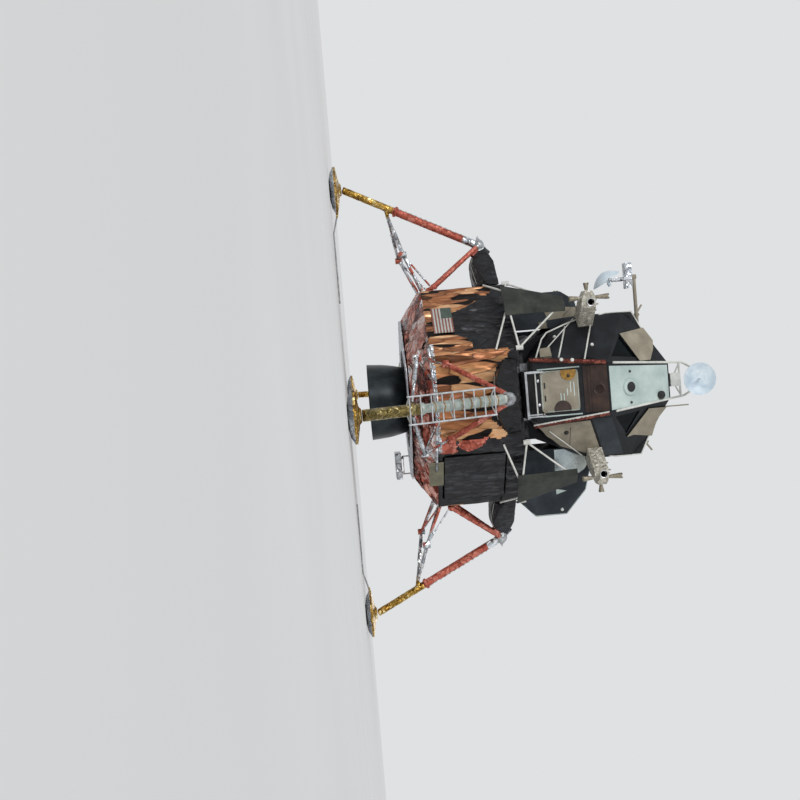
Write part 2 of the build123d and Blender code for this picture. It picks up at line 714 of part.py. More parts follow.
# Interstage fittings: four posts that carry the ascent stage on the deck
with BuildPart() as interstage:
    for x, y, top in ((480, -980, cabin_bottom), (-480, -980, cabin_bottom),
                      (760, 600, 3480), (-760, 600, 3480)):
        with Locations((x, y, (deck_height + top) / 2)):
            Box(140, 140, top - deck_height)
interstage.part.label = "interstage_fittings"
export_step(interstage.part, "parts/interstage_fittings.step")

# Thruster quads: a wedge-shaped housing with four nozzles at each corner
# name, side in x, side in y, plan outline of the housing
front_plan = ((1250, 980), (1820, 1500), (1820, 1760), (1760, 1820), (1500, 1820), (1100, 1280))
aft_plan = ((1100, 1350), (1500, 1500), (1820, 1500), (1820, 1760), (1760, 1820), (1500, 1820),
            (1100, 1780))
quads = (
    ("port_front", 1, -1, front_plan),
    ("starboard_front", -1, -1, front_plan),
    ("port_aft", 1, 1, aft_plan),
    ("starboard_aft", -1, 1, aft_plan),
)
housing_side = ((1000, 4480), (1400, 4470), (1640, 4500), (1830, 4560), (1830, 4720), (1700, 4760),
                (1000, 4760))
nozzle_exit = 60
nozzle_throat = 24
quad_corner = 1690
peg_spots = ((1560, 1700), (1640, 1560), (1450, 1500))


def nozzle(start, end):
    """A hollow flared thruster nozzle from its throat to its exit."""
    along = Vector(end) - Vector(start)
    with Locations(Plane(origin=start, z_dir=along)):
        Cone(nozzle_throat, nozzle_exit, along.length, align=up_from_base)
    with Locations(Plane(origin=Vector(start) + along * 0.3, z_dir=along)):
        Cone(nozzle_throat - 8, nozzle_exit - 6, along.length * 0.7, align=up_from_base, mode=Mode.SUBTRACT)


for name, x_side, y_side, plan in quads:
    with BuildPart() as quad:
        with BuildSketch(Plane.XY.offset(4200)):
            with BuildLine():
                Polyline(*[(x_side * x, y_side * y) for x, y in plan], close=True)
            make_face()
        extrude(amount=700)
        with BuildSketch(Plane.XZ.offset(-2000 * y_side)):
            with BuildLine():
                Polyline(*[(x_side * x, z) for x, z in housing_side], close=True)
            make_face()
        extrude(amount=1200 * y_side, mode=Mode.INTERSECT)
        corner = Vector(x_side * quad_corner, y_side * quad_corner, 0)
        nozzle(corner + Vector(0, 0, 4700), corner + Vector(0, 0, 5045))
        nozzle(corner + Vector(0, 0, 4560), corner + Vector(0, 0, 4275))
        nozzle((x_side * 1800, y_side * 1660, 4630), (x_side * 1975, y_side * 1660, 4630))
        nozzle((x_side * 1600, y_side * 1800, 4630), (x_side * 1600, y_side * 1975, 4630))
        for x, y in peg_spots:
            rod((x_side * x, y_side * y, 4660), (x_side * x, y_side * y, 4830), 34)
        for neighbour in (cabin_shell.part, cabin_face.part, aft_bay.part):
            add(neighbour, mode=Mode.SUBTRACT)
        if y_side < 0:
            add(cabin_inside, mode=Mode.SUBTRACT)
            with BuildSketch(Plane.XZ.offset(-mid_front)):
                add(cabin_section(1))
            extrude(amount=mid_front - rim_front, mode=Mode.SUBTRACT)
    quad.part.label = f"thruster_quad_{name}"
    export_step(quad.part, f"parts/thruster_quad_{name}.step")

# Plume deflectors: three-faced sheets under the quads, held by tube trusses
deflector_sheet = 16
# height, how far out the middle is, half its width, then the same for the flaps
deflector_top = (4190, 2376, 110, 2290, 190)
deflector_foot = (3020, 2640, 255, 2500, 400)
deflectors = []
for name, x_side, y_side, plan in quads:
    diagonal = Plane(origin=(0, 0, 0), x_dir=(x_side, y_side, 0), z_dir=(0, 0, 1))
    with BuildPart() as deflector:
        for height, middle_out, middle_half, flap_out, flap_half in (deflector_top, deflector_foot):
            with BuildSketch(diagonal.offset(height)):
                with BuildLine():
                    Polyline(
                        (flap_out, -flap_half), (middle_out, -middle_half), (middle_out, middle_half),
                        (flap_out, flap_half), (flap_out - deflector_sheet, flap_half - 8),
                        (middle_out - deflector_sheet, middle_half - 6),
                        (middle_out - deflector_sheet, 6 - middle_half),
                        (flap_out - deflector_sheet, 8 - flap_half), close=True,
                    )
                make_face()
        loft(ruled=True)
    deflectors.append(deflector.part)
    deflector.part.label = f"plume_deflector_{name}"
    export_step(deflector.part, f"parts/plume_deflector_{name}.step")

# Tubes from the body's corners to fittings on the sheets: out, to the side and up
high_joint = (2330, 60, 4110)
low_joint = (2555, 175, 3100)
fitting_reach = 54
with BuildPart() as deflector_trusses:
    for name, x_side, y_side, plan in quads:
        diagonal = Plane(origin=(0, 0, 0), x_dir=(x_side, y_side, 0), z_dir=(0, 0, 1))
        for turn in (-1, 1):
            foot = diagonal.from_local_coords(Vector(body_apothem, turn * octagon_half, deck_height))
            low_foot = diagonal.from_local_coords(Vector(body_apothem, turn * octagon_half, 2800))
            for out, aside, up in (high_joint, low_joint):
                end = diagonal.from_local_coords(Vector(out, turn * aside, up))
                rod(end, diagonal.from_local_coords(Vector(out + fitting_reach, turn * aside, up)), 40)
                rod(foot, end, 36)
            rod(low_foot, end, 36)
            with Locations(foot):
                Cylinder(45, 130)
    for deflector in deflectors:
        add(deflector, mode=Mode.SUBTRACT)
    add(descent_body.part, mode=Mode.SUBTRACT)
deflector_trusses.part.label = "deflector_trusses"
export_step(deflector_trusses.part, "parts/deflector_trusses.step")

# Front braces: foil-wrapped rods down the edges of the front column
brace_diameter = 84
brace_top = (475, nose_front - 30, 4830)
brace_foot = (625, hatch_plane - 40, 3420)
with BuildPart() as front_braces:
    for side in (-1, 1):
        rod((side * brace_top[0], brace_top[1], brace_top[2]),
            (side * brace_foot[0], brace_foot[1], brace_foot[2]), brace_diameter)
    add(cabin_face.part, mode=Mode.SUBTRACT)
front_braces.part.label = "front_braces"
export_step(front_braces.part, "parts/front_braces.step")

# Window visors: pale shades over the two front windows
# side, outline from the front: out and up
visor_outlines = (
    (1, ((507, 6080), (733, 5880), (1047, 5790), (970, 5380), (995, 5230), (490, 5680))),
    (-1, ((430, 5780), (620, 5890), (790, 5925), (1043, 5770), (970, 5230), (430, 5550))),
)
visors = [facet_plate(side, outline, 0, -28) for side, outline in visor_outlines]
with BuildPart() as window_visors:
    for visor in visors:
        add(visor)
    add(cabin_face.part, mode=Mode.SUBTRACT)
window_visors.part.label = "window_visors"
export_step(window_visors.part, "parts/window_visors.step")

# Rendezvous radar: raked rails up the top slope, a yoke on the shaft and the dish on it
radar_axis = (0, -1450, 6630)
radar_shaft = 28
rail_diameter = 44
beam_height = 6380
box_height = 6280
box_back = 60


def on_slope(x, height):
    """The centre of a rail that lies on the cabin's top slope at this height."""
    outward = Vector(*slope_facing).normalized()
    depth = nose_front + (height - nose_height) * outward.Z / -outward.Y
    return Vector(x, depth, height) + outward * (rail_diameter / 2 - 3)


with BuildPart() as radar_pedestal:
    for side in (-1, 1):
        rail_top = on_slope(side * 320, 6450)
        rod(on_slope(side * 452, 4960), rail_top, rail_diameter)
        rod(rail_top, (side * 175, radar_axis[1], radar_axis[2]), rail_diameter)
        with Locations((side * 175, radar_axis[1], radar_axis[2])):
            Cylinder(36, 30, rotation=(0, 90, 0))
    rod(on_slope(-326, beam_height), on_slope(326, beam_height), 40)
    box_middle = on_slope(0, box_height) + Vector(0, box_back, 0)
    with Locations(box_middle):
        Box(250, 110, 180)
    for side in (-1, 1):
        rod(box_middle + Vector(side * 105, 0, 0), on_slope(side * 300, beam_height), 30)
    rod(box_middle, on_slope(0, beam_height), 60)
    rod((-220, radar_axis[1], radar_axis[2]), (220, radar_axis[1], radar_axis[2]),
        radar_shaft + 2 * running_clearance, Mode.SUBTRACT)
    add(cabin_face.part, mode=Mode.SUBTRACT)
radar_pedestal.part.label = "radar_pedestal"
export_step(radar_pedestal.part, "parts/radar_pedestal.step")

with BuildPart() as radar_yoke:
    rod((-190, radar_axis[1], radar_axis[2]), (190, radar_axis[1], radar_axis[2]), radar_shaft)
    with Locations((0, radar_axis[1], radar_axis[2])):
        Box(90, 90, 210)
    rod((0, radar_axis[1], radar_axis[2] - 130), (0, radar_axis[1], radar_axis[2] + 130), 30)
radar_yoke.part.label = "radar_yoke"
export_step(radar_yoke.part, "parts/radar_yoke.step")

with BuildPart() as radar_dish:
    with BuildSketch(Plane.YZ) as bowl:
        with BuildLine():
            ThreePointArc((-210, 0), (-228, 150), (-285, 305))
            Line((-285, 305), (-297, 305))
            ThreePointArc((-297, 305), (-240, 150), (-222, 0))
            Line((-222, 0), (-210, 0))
        make_face()
    add(Pos(*radar_axis) * revolve(bowl.sketch, axis=Axis.Y, mode=Mode.PRIVATE))
    for up in (-1, 1):
        with Locations((0, radar_axis[1], radar_axis[2] + up * 118)):
            Cylinder(26, 18)
        with Locations((0, radar_axis[1] - 125, radar_axis[2] + up * 118)):
            Box(40, 225, 18)
    rod((0, radar_axis[1], radar_axis[2] - 140), (0, radar_axis[1], radar_axis[2] + 140),
        30 + 2 * running_clearance, Mode.SUBTRACT)
    rod((0, radar_axis[1] - 200, radar_axis[2]), (0, radar_axis[1] - 400, radar_axis[2]), 40)
radar_dish.part.label = "radar_dish"
export_step(radar_dish.part, "parts/radar_dish.step")

# Steerable antenna: a boom off the starboard side, a turning fork and a dish
boom_end = (-2040, -800, 5745)
azimuth_shaft = 40
with BuildPart() as antenna_boom:
    rod((-950, -800, 5745), boom_end, 70)
    with Locations(boom_end):
        Cylinder(45, 90)
    with Locations(boom_end):
        Cylinder(azimuth_shaft / 2 + running_clearance, 120, mode=Mode.SUBTRACT)
    add(cabin_shell.part, mode=Mode.SUBTRACT)
    with BuildSketch(Plane.XZ.offset(-mid_front)):
        add(cabin_section(1))
    extrude(amount=mid_front - rim_front, mode=Mode.SUBTRACT)
antenna_boom.part.label = "antenna_boom"
export_step(antenna_boom.part, "parts/antenna_boom.step")

dish_axis = (-2010, -800, 5210)
dish_facing = (0.86, 0, 0.51)
dish_radius = 300
dish_depth = 170
fork_half = 337
trunnion = 24
with BuildPart() as antenna_yoke:
    rod((boom_end[0], boom_end[1], 5620), (boom_end[0], boom_end[1], 5800), azimuth_shaft)
    with Locations((-2070, boom_end[1], 5625)):
        Box(500, 260, 130)
    with Locations((dish_axis[0], dish_axis[1], 5600)):
        Box(60, 2 * fork_half + 30, 50)
    for side in (-1, 1):
        with Locations((dish_axis[0], dish_axis[1] + side * fork_half, 5395)):
            Box(60, 30, 440)
    rod((dish_axis[0], dish_axis[1] - 400, dish_axis[2]), (dish_axis[0], dish_axis[1] + 400, dish_axis[2]),
        trunnion + 2 * running_clearance, Mode.SUBTRACT)
antenna_yoke.part.label = "antenna_yoke"
export_step(antenna_yoke.part, "parts/antenna_yoke.step")

dish_frame = Plane(origin=dish_axis, x_dir=(0, 1, 0), z_dir=dish_facing)
with BuildPart() as antenna_dish:
    with BuildSketch(Plane.XZ) as bowl:
        with BuildLine():
            ThreePointArc((0, -dish_depth), (165, -119), (dish_radius, 0))
            Line((dish_radius, 0), (dish_radius - 10, 0))
            ThreePointArc((dish_radius - 10, 0), (160, -107), (0, 12 - dish_depth))
            Line((0, 12 - dish_depth), (0, -dish_depth))
        make_face()
    add(dish_frame.location * revolve(bowl.sketch, axis=Axis.Z, mode=Mode.PRIVATE))
    for side in (-1, 1):
        rod((dish_axis[0], dish_axis[1] + side * (dish_radius - 6), dish_axis[2]),
            (dish_axis[0], dish_axis[1] + side * (fork_half + 8), dish_axis[2]), trunnion)
    facing = Vector(*dish_facing).normalized()
    bottom = Vector(*dish_axis) - facing * (dish_depth - 6)
    rod(bottom, Vector(*dish_axis) + facing * 60, 26)
    rod(Vector(*dish_axis) + facing * 60, Vector(*dish_axis) + facing * 130, 70)
antenna_dish.part.label = "antenna_dish"
export_step(antenna_dish.part, "parts/antenna_dish.step")

# Fixed antennas on the roof
with BuildPart() as fixed_antennas:
    for x in (-1, 1):
        rod((x * 900, 300, roof_height - 140), (x * 1500, 560, 6190), 40)
        rod((x * 1240, 447, 6005), (x * 1330, 486, 6070), 110)
    rod((620, 420, roof_height - 10), (620, 420, 6985), 26)
    add(midsection.part, mode=Mode.SUBTRACT)
fixed_antennas.part.label = "fixed_antennas"
export_step(fixed_antennas.part, "parts/fixed_antennas.step")
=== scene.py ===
import json
import math

import bmesh
import bpy
import numpy as np
from mathutils import Matrix, Vector
from mathutils.bvhtree import BVHTree

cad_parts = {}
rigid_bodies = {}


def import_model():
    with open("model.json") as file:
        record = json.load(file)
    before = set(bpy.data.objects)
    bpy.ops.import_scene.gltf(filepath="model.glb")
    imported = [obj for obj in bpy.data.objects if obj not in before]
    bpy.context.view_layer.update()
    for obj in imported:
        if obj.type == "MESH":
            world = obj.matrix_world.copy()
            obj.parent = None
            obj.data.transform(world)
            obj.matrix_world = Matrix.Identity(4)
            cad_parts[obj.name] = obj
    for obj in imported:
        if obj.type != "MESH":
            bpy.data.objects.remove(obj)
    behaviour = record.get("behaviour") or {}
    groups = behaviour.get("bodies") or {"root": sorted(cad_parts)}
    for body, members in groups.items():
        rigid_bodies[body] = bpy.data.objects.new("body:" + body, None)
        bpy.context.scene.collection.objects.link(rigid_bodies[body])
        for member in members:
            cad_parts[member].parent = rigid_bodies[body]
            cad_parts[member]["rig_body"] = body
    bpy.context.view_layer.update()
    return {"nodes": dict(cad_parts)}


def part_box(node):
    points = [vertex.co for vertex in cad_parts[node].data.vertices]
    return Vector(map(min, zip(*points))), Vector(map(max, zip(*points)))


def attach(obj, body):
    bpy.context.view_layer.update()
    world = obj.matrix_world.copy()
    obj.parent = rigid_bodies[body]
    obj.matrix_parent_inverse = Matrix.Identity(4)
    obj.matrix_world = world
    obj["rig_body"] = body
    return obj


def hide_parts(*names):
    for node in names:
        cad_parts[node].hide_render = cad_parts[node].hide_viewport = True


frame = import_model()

# A two-stage lunar module on its four pads. Metres, in the frame of the CAD part: the
# ladder and hatch face -Y, port is +X, and the floor is z = 0.
NODES = frame["nodes"]
LEGS = (("front", (0, -1)), ("port", (1, 0)), ("aft", (0, 1)), ("starboard", (-1, 0)))
QUADS = ("port_front", "starboard_front", "port_aft", "starboard_aft")

# Sizes shared with the CAD part
APOTHEM = 2.11
CORNER = APOTHEM * (2**0.5 - 1)
KNEE_REACH, KNEE_HEIGHT = 2.94, 2.86
PAD_REACH, PAD_HEIGHT = 4.25, 0.25
NOSE_Y = -1.97
NOSE_Z = 4.86
NOSE_HALF = 0.47
HATCH_Y = -1.80


def colour(code):
    """The linear colour of an sRGB hex value."""
    parts = [int(code[i:i + 2], 16) / 255 for i in (0, 2, 4)]
    return tuple(p / 12.92 if p <= 0.04045 else ((p + 0.055) / 1.055) ** 2.4 for p in parts) + (1.0,)


def add_node(tree, kind, inputs=None, stops=None, **settings):
    """Adds a shader node with its settings. An input is a value or the output it is linked to."""
    node = tree.nodes.new("ShaderNode" + kind)
    for name, value in settings.items():
        setattr(node, name, value)
    if stops:
        elements = node.color_ramp.elements
        while len(elements) < len(stops):
            elements.new(0.5)
        for element, (place, code) in zip(elements, stops):
            element.position = place
            element.color = colour(code)
    for name, value in (inputs or {}).items():
        if isinstance(value, bpy.types.NodeSocket):
            tree.links.new(value, node.inputs[name])
        else:
            node.inputs[name].default_value = value
    return node


def new_material(name):
    """An empty node material and its shader."""
    material = bpy.data.materials.new(name)
    material.use_nodes = True
    return material, material.node_tree, material.node_tree.nodes["Principled BSDF"]


# Film: where its four tones lie between the dullest painted facet and the brightest painted glint, how many
# times smaller its small facets are, and how much they count beside the large ones
TONE_PLACES = (0.18, 0.42, 0.62, 0.84)
SMALLER = 2.7
SMALL_TONE, SMALL_TILT = 0.33, 0.6


def film(name, tones, metallic, roughness, crease, tilt, tall=1.0, gap_shade_share=0.0):
    """A thin plastic film with a metal coat, crushed by hand: flat facets at two sizes, each
    tilted its own way and painted with a brightness of its own, between fine creases of painted
    shade. tones run from the dullest facets, painted as if turned away, to painted glints. crease
    is the larger facet's width, tilt how far the facets lean, tall how many times higher than
    wide they are, and the last argument the share of facets painted near black, as painted
    shade in gaps of the film."""
    material, tree, shader = new_material(name)
    place = add_node(tree, "TexCoord").outputs["Object"]
    place = add_node(tree, "Mapping", {"Vector": place, "Scale": (1, 1, 1 / tall)}).outputs["Vector"]
    drift = add_node(tree, "TexNoise", {"Vector": place, "Scale": 0.5 / crease, "Detail": 2.0})
    bent = add_node(tree, "VectorMath", {0: drift.outputs["Color"], 1: (0.9 * crease,) * 3, 2: place},
                    operation="MULTIPLY_ADD").outputs["Vector"]
    large = add_node(tree, "TexVoronoi", {"Vector": bent, "Scale": 1 / crease})
    lines = add_node(tree, "TexVoronoi", {"Vector": bent, "Scale": 1 / crease}, feature="DISTANCE_TO_EDGE")
    small = add_node(tree, "TexVoronoi", {"Vector": bent, "Scale": SMALLER / crease})
    patch = add_node(tree, "TexNoise", {"Vector": place, "Scale": 0.3 / crease, "Detail": 4.0})
    chance = add_node(tree, "SeparateXYZ", {"Vector": large.outputs["Color"]})
    small_chance = add_node(tree, "SeparateXYZ", {"Vector": small.outputs["Color"]})
    # The facets' tones, painted light from dull to glint, with painted shade at their creases and in gaps of
    # the film
    facets = add_node(tree, "Mix", {"Factor": SMALL_TONE, 2: chance.outputs["X"],
                                    3: small_chance.outputs["X"]})
    bright = add_node(tree, "Mix", {"Factor": 0.25, 2: facets.outputs[0], 3: patch.outputs["Fac"]})
    tint = add_node(tree, "ValToRGB", {"Fac": bright.outputs[0]}, stops=tuple(zip(TONE_PLACES, tones)))
    shade = add_node(tree, "ValToRGB", {"Fac": lines.outputs["Distance"]},
                     stops=((0.0, "5a4c46"), (0.035, "e8e2dc"), (0.1, "ffffff")))
    gap_shade = add_node(tree, "ValToRGB", {"Fac": chance.outputs["Z"]},
                    stops=((gap_shade_share, "181314"), (gap_shade_share + 0.01, "ffffff")))
    shades = {"Factor": 0.85, 6: tint.outputs["Color"], 7: shade.outputs["Color"]}
    creased = add_node(tree, "Mix", shades, data_type="RGBA", blend_type="MULTIPLY")
    shades = {"Factor": 1.0 if gap_shade_share else 0.0, 6: creased.outputs[2], 7: gap_shade.outputs["Color"]}
    toned = add_node(tree, "Mix", shades, data_type="RGBA", blend_type="MULTIPLY")
    tree.links.new(toned.outputs[2], shader.inputs["Base Color"])
    gloss = add_node(tree, "MapRange", {"Value": small.outputs["Distance"], "To Min": roughness * 0.75,
                                        "To Max": roughness * 1.5})
    tree.links.new(gloss.outputs["Result"], shader.inputs["Roughness"])
    shader.inputs["Metallic"].default_value = metallic
    # Each facet leans by its own colour, taken from -1 to 1 along the three axes
    normal = add_node(tree, "Bump", {"Strength": 0.4, "Distance": crease * 0.1,
                                     "Height": small.outputs["Distance"]}).outputs["Normal"]
    for facet, share in ((large, 1.0), (small, SMALL_TILT)):
        lean = {0: facet.outputs["Color"], 1: (2 * tilt * share,) * 3, 2: normal}
        normal = add_node(tree, "VectorMath", lean, operation="MULTIPLY_ADD").outputs["Vector"]
        lean = {0: normal, 1: (tilt * share,) * 3}
        normal = add_node(tree, "VectorMath", lean, operation="SUBTRACT").outputs["Vector"]
    even = add_node(tree, "VectorMath", {0: normal}, operation="NORMALIZE")
    tree.links.new(even.outputs["Vector"], shader.inputs["Normal"])
    return material


# A skin's grain, in metres, and where its three tones lie
GRAIN = 0.004
SKIN_TONE_PLACES = (0.32, 0.5, 0.68)


def skin(name, tones, metallic, roughness, patch_size, relief):
    """A hard surface, painted, anodised or bare: slow changes of tone, a fine grain and
    a slightly uneven gloss. patch_size is the width of a change of tone."""
    material, tree, shader = new_material(name)
    place = add_node(tree, "TexCoord").outputs["Object"]
    patch = add_node(tree, "TexNoise", {"Vector": place, "Scale": 1 / patch_size, "Detail": 6.0,
                                        "Roughness": 0.6})
    tint = add_node(tree, "ValToRGB", {"Fac": patch.outputs["Fac"]},
                    stops=tuple(zip(SKIN_TONE_PLACES, tones)))
    tree.links.new(tint.outputs["Color"], shader.inputs["Base Color"])
    grains = add_node(tree, "TexNoise", {"Vector": place, "Scale": 1 / GRAIN, "Detail": 2.0})
    waves = add_node(tree, "TexNoise", {"Vector": place, "Scale": 0.5 / patch_size, "Detail": 1.0})
    gloss = add_node(tree, "MapRange", {"Value": patch.outputs["Fac"], "From Min": 0.3, "From Max": 0.7,
                                        "To Min": roughness * 0.8, "To Max": roughness * 1.25})
    tree.links.new(gloss.outputs["Result"], shader.inputs["Roughness"])
    shader.inputs["Metallic"].default_value = metallic
    dents = add_node(tree, "Bump", {"Strength": 0.5, "Distance": relief, "Height": waves.outputs["Fac"]})
    rough = add_node(tree, "Bump", {"Strength": 0.25, "Distance": GRAIN * 0.1,
                                    "Height": grains.outputs["Fac"], "Normal": dents.outputs["Normal"]})
    tree.links.new(rough.outputs["Normal"], shader.inputs["Normal"])
    return material


# Finishes. A film's numbers are its metal share, roughness, crease and tilt. A skin's are its
# metal share, roughness, the width of a change of tone and the depth of its waves.

# Amber polyimide film in long upright folds: tan orange facets with dark slits of painted shade between them
AMBER = film("amber polyimide film", ("7d4a2b", "ad7047", "c98f5f", "e6b98c"), 0.45, 0.34, 0.15, 0.30,
             tall=4.5, gap_shade_share=0.07)
# The same film where it hangs loose, with wide dark gaps of painted shade between its folds
AMBER_LOOSE = film("loose amber polyimide film", ("7d4a2b", "a86c45", "c48c60", "e2b78e"), 0.45, 0.34,
                   0.085, 0.35, tall=6.0, gap_shade_share=0.25)
# Black polyester film: nearly black, with a soft grey painted highlight on its few bright facets
BLACK = film("black polyester film", ("121215", "16171a", "1b1c20", "2c2f34"), 0.4, 0.32, 0.24, 0.18,
             tall=2.0)
# Copper-pink polyimide film over the keel, mirror-like: facets painted from dark red, a painted dark
# reflection, to white painted glints
COPPER = film("copper polyimide film", ("4f1e18", "a65647", "ecb2a3", "ffffff"), 0.85, 0.12, 0.22, 0.7)
# Salmon red aluminised film wound on the struts, only softly creased
SALMON = film("salmon aluminised film", ("94402f", "b05543", "c46a57", "dd9180"), 0.35, 0.42, 0.12, 0.18)
DARK_RED = film("dark red aluminised film", ("35140f", "5a231a", "78382a", "a05c48"), 0.5, 0.36, 0.08, 0.25)
# Gold film, creased small, on the pads and the strut ends
GOLD = film("gold aluminised film", ("6b4c17", "a37f34", "cda855", "f2dfa4"), 0.85, 0.24, 0.07, 0.35)
# Olive gold film on the front strut, duller than the pads
OLIVE_GOLD = film("olive gold film", ("4f4522", "75673a", "978755", "c6b98c"), 0.75, 0.3, 0.08, 0.3)
SILVER = film("silver aluminised film", ("8a9098", "b4bac1", "d6dbe0", "f4f7fa"), 0.9, 0.22, 0.16, 0.24)
# The base heat shield's bright outer foil, nearly white with a blue cast
SHIELD = film("bright nickel foil shield", ("b4c0cc", "d0dae4", "e6eef4", "ffffff"), 0.55, 0.3, 0.08, 0.25)
# The engine bay's lining foil, grey green and strongly crushed
LINING = film("grey metal foil lining", ("2b3335", "4c5859", "7b8786", "b6c0be"), 0.85, 0.28, 0.10, 0.5)
# Polished sheet on the port tank cover, a soft cool mirror
POLISHED = skin("polished aluminium sheet", ("a9b5b8", "c6d1d2", "e2eaea"), 0.85, 0.24, 0.35, 0.006)
# Crinkled beige blanket on the thruster housings
HOUSING = film("beige woven wrap", ("98948a", "b6b2a4", "cfccbf", "eceade"), 0.1, 0.46, 0.055, 0.3)
# Refractory metal with a dark silicide coat: smooth, deep grey with a soft sheen
BELL = skin("coated niobium alloy", ("171b1e", "22282b", "31383b"), 0.7, 0.36, 0.3, 0.002)
# Nozzle alloy coated beige by its insulation, with a soft grey sheen
NOZZLE = skin("beige coated nozzle alloy", ("6f685a", "8b8372", "a79e8c"), 0.4, 0.42, 0.06, 0.001)
BARE = skin("machined aluminium", ("8d8f91", "a9abad", "c2c4c5"), 1.0, 0.34, 0.12, 0.001)
TUBE = skin("drawn aluminium tube", ("b0b2b4", "c8cacc", "dddfe1"), 0.9, 0.34, 0.08, 0.0006)
# Black anodised sheet, slightly dished between its fasteners
PANEL = skin("black anodised aluminium sheet", ("0f1114", "181b1f", "24282d"), 0.5, 0.4, 0.35, 0.012)
TEAL = skin("blue grey anodised sheet", ("20252b", "2b3137", "3a4147"), 0.45, 0.38, 0.4, 0.01)
# Olive beige thermal paint: flat, warm and slightly streaked
BEIGE = skin("olive beige thermal paint", ("7d7666", "8f8776", "a09887"), 0.0, 0.55, 0.25, 0.003)
BROWN = skin("dark brown thermal coat", ("261a16", "35251f", "463229"), 0.1, 0.5, 0.2, 0.004)
WHITE = skin("white thermal paint", ("bfc0ba", "d4d5cf", "e6e7e2"), 0.0, 0.42, 0.15, 0.001)
PALE = skin("pale grey green paint", ("a6b7b3", "b9c9c5", "ccd9d5"), 0.0, 0.45, 0.5, 0.004)
DISH = skin("blue white thermal paint", ("b4c6d4", "cddce6", "e6eff4"), 0.0, 0.35, 0.25, 0.002)
# Dark heat-resistant sheet of the deflectors, with a grey green cast
DEFLECTOR = skin("dark heat resistant sheet", ("262a26", "353833", "454740"), 0.6, 0.42, 0.3, 0.008)
ORANGE = skin("orange yellow anodised disc", ("7d5a26", "96702f", "ad873f"), 0.4, 0.4, 0.06, 0.001)
DARK = skin("black elastomer", ("0c0c0d", "141415", "1e1e20"), 0.0, 0.5, 0.08, 0.001)
LENS = skin("frosted white glass", ("d9dcd8", "e9ece8", "f5f7f4"), 0.0, 0.2, 0.05, 0.0005)
# Stripes and corner of the patch, dulled and darkened with painted shade, and the blank plate's drab paint
RUST_PAINT = skin("rust paint dulled with painted shade", ("74453d", "86534a", "96645a"), 0.0, 0.55, 0.1, 0.001)
GREY_PAINT = skin("pale grey paint dulled with painted shade", ("a2a5a1", "b3b6b1", "c3c6c1"), 0.0, 0.55, 0.1, 0.001)
GREEN_PAINT = skin("grey green paint dulled with painted shade", ("39463f", "45534c", "535f58"), 0.0, 0.55, 0.1, 0.001)
OLIVE = skin("olive beige paint", ("5c5a48", "6d6a55", "7e7a63"), 0.0, 0.5, 0.12, 0.001)
SLEEVE = skin("grey green enamel", ("8a9690", "9fa9a3", "b4bdb6"), 0.1, 0.36, 0.09, 0.002)


def slow_tint(tree, shader, scale, detail, stops):
    """A base colour that changes slowly over the surface."""
    place = add_node(tree, "TexCoord").outputs["Object"]
    noise = add_node(tree, "TexNoise", {"Vector": place, "Scale": scale, "Detail": detail})
    tint = add_node(tree, "ValToRGB", {"Fac": noise.outputs["Fac"]}, stops=stops)
    tree.links.new(tint.outputs["Color"], shader.inputs["Base Color"])


# Coated window glass: almost black and glossy, with a low index, for an anti-reflection coat
GLASS, glass_tree, glass_shader = new_material("coated window glass")
slow_tint(glass_tree, glass_shader, 6.0, 3.0, ((0.35, "05080a"), (0.65, "0d1316")))
for name, value in (("Roughness", 0.08), ("Specular IOR Level", 0.3), ("IOR", 1.25)):
    glass_shader.inputs[name].default_value = value


# A crushed sheet: how long and strong the waves that bend its folds are beside a fold, the
# share and size of its large, middle and small folds, and how many ways each of them runs
WAVE_LENGTH, WAVE_STRENGTH = 3, 0.35
FOLD_SIZES = ((0.5, 1.0), (0.3, 0.55), (0.2, 0.3))
WAYS = 3


def folds(points, size, seed):
    """Height from 0 to 1 of a crushed sheet at these points: straight creases that cross in
    many directions, bent a little by slow waves, so that flat facets lie between them."""
    pick = np.random.default_rng(seed)
    bend = np.zeros_like(points)
    for _ in range(WAYS):
        way = pick.normal(size=3)
        wave = np.sin(points @ way / (size * WAVE_LENGTH) + pick.uniform(0, 6.28))
        bend += np.outer(wave, pick.normal(size=3))
    moved = points + bend * size * WAVE_STRENGTH
    height = np.zeros(len(points))
    for share, scale in FOLD_SIZES:
        for _ in range(WAYS):
            way = pick.normal(size=3)
            way /= np.linalg.norm(way) * size * scale
            wave = (moved @ way + pick.uniform(0, 1)) % 1.0
            height += share / WAYS * np.abs(2 * wave - 1)
    return (height - height.min()) / (np.ptp(height) + 1e-9)


def inside(outline, across, up):
    """Which of these points lie inside an outline given across and up."""
    found = np.zeros(len(across), dtype=bool)
    for (a0, u0), (a1, u1) in zip(outline, outline[1:] + outline[:1]):
        crosses = (u0 > up) != (u1 > up)
        reach = (a1 - a0) * (up - u0) / (u1 - u0 + 1e-12) + a0
        found ^= crosses & (across < reach)
    return found


def placed(name, data):
    """A new object in the scene."""
    item = bpy.data.objects.new(name, data)
    bpy.context.scene.collection.objects.link(item)
    return item


def mesh_piece(name, mesh, materials, body):
    """A piece of the craft from a mesh with these materials, riding on a body."""
    piece = placed(name, mesh)
    for material in materials:
        mesh.materials.append(material)
    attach(piece, body)
    return piece


def remeshed(mesh, spacing):
    """The mesh's skin rebuilt from small squares of this size."""
    holder = placed("holder", mesh)
    modifier = holder.modifiers.new("skin", "REMESH")
    modifier.mode = "VOXEL"
    modifier.voxel_size = spacing
    bpy.context.view_layer.update()
    shaped = bpy.data.meshes.new_from_object(holder.evaluated_get(bpy.context.evaluated_depsgraph_get()))
    bpy.data.objects.remove(holder)
    return shaped


def read(items, key):
    """One vector of every item, a row each."""
    values = np.zeros(len(items) * 3)
    items.foreach_get(key, values)
    return values.reshape(-1, 3)


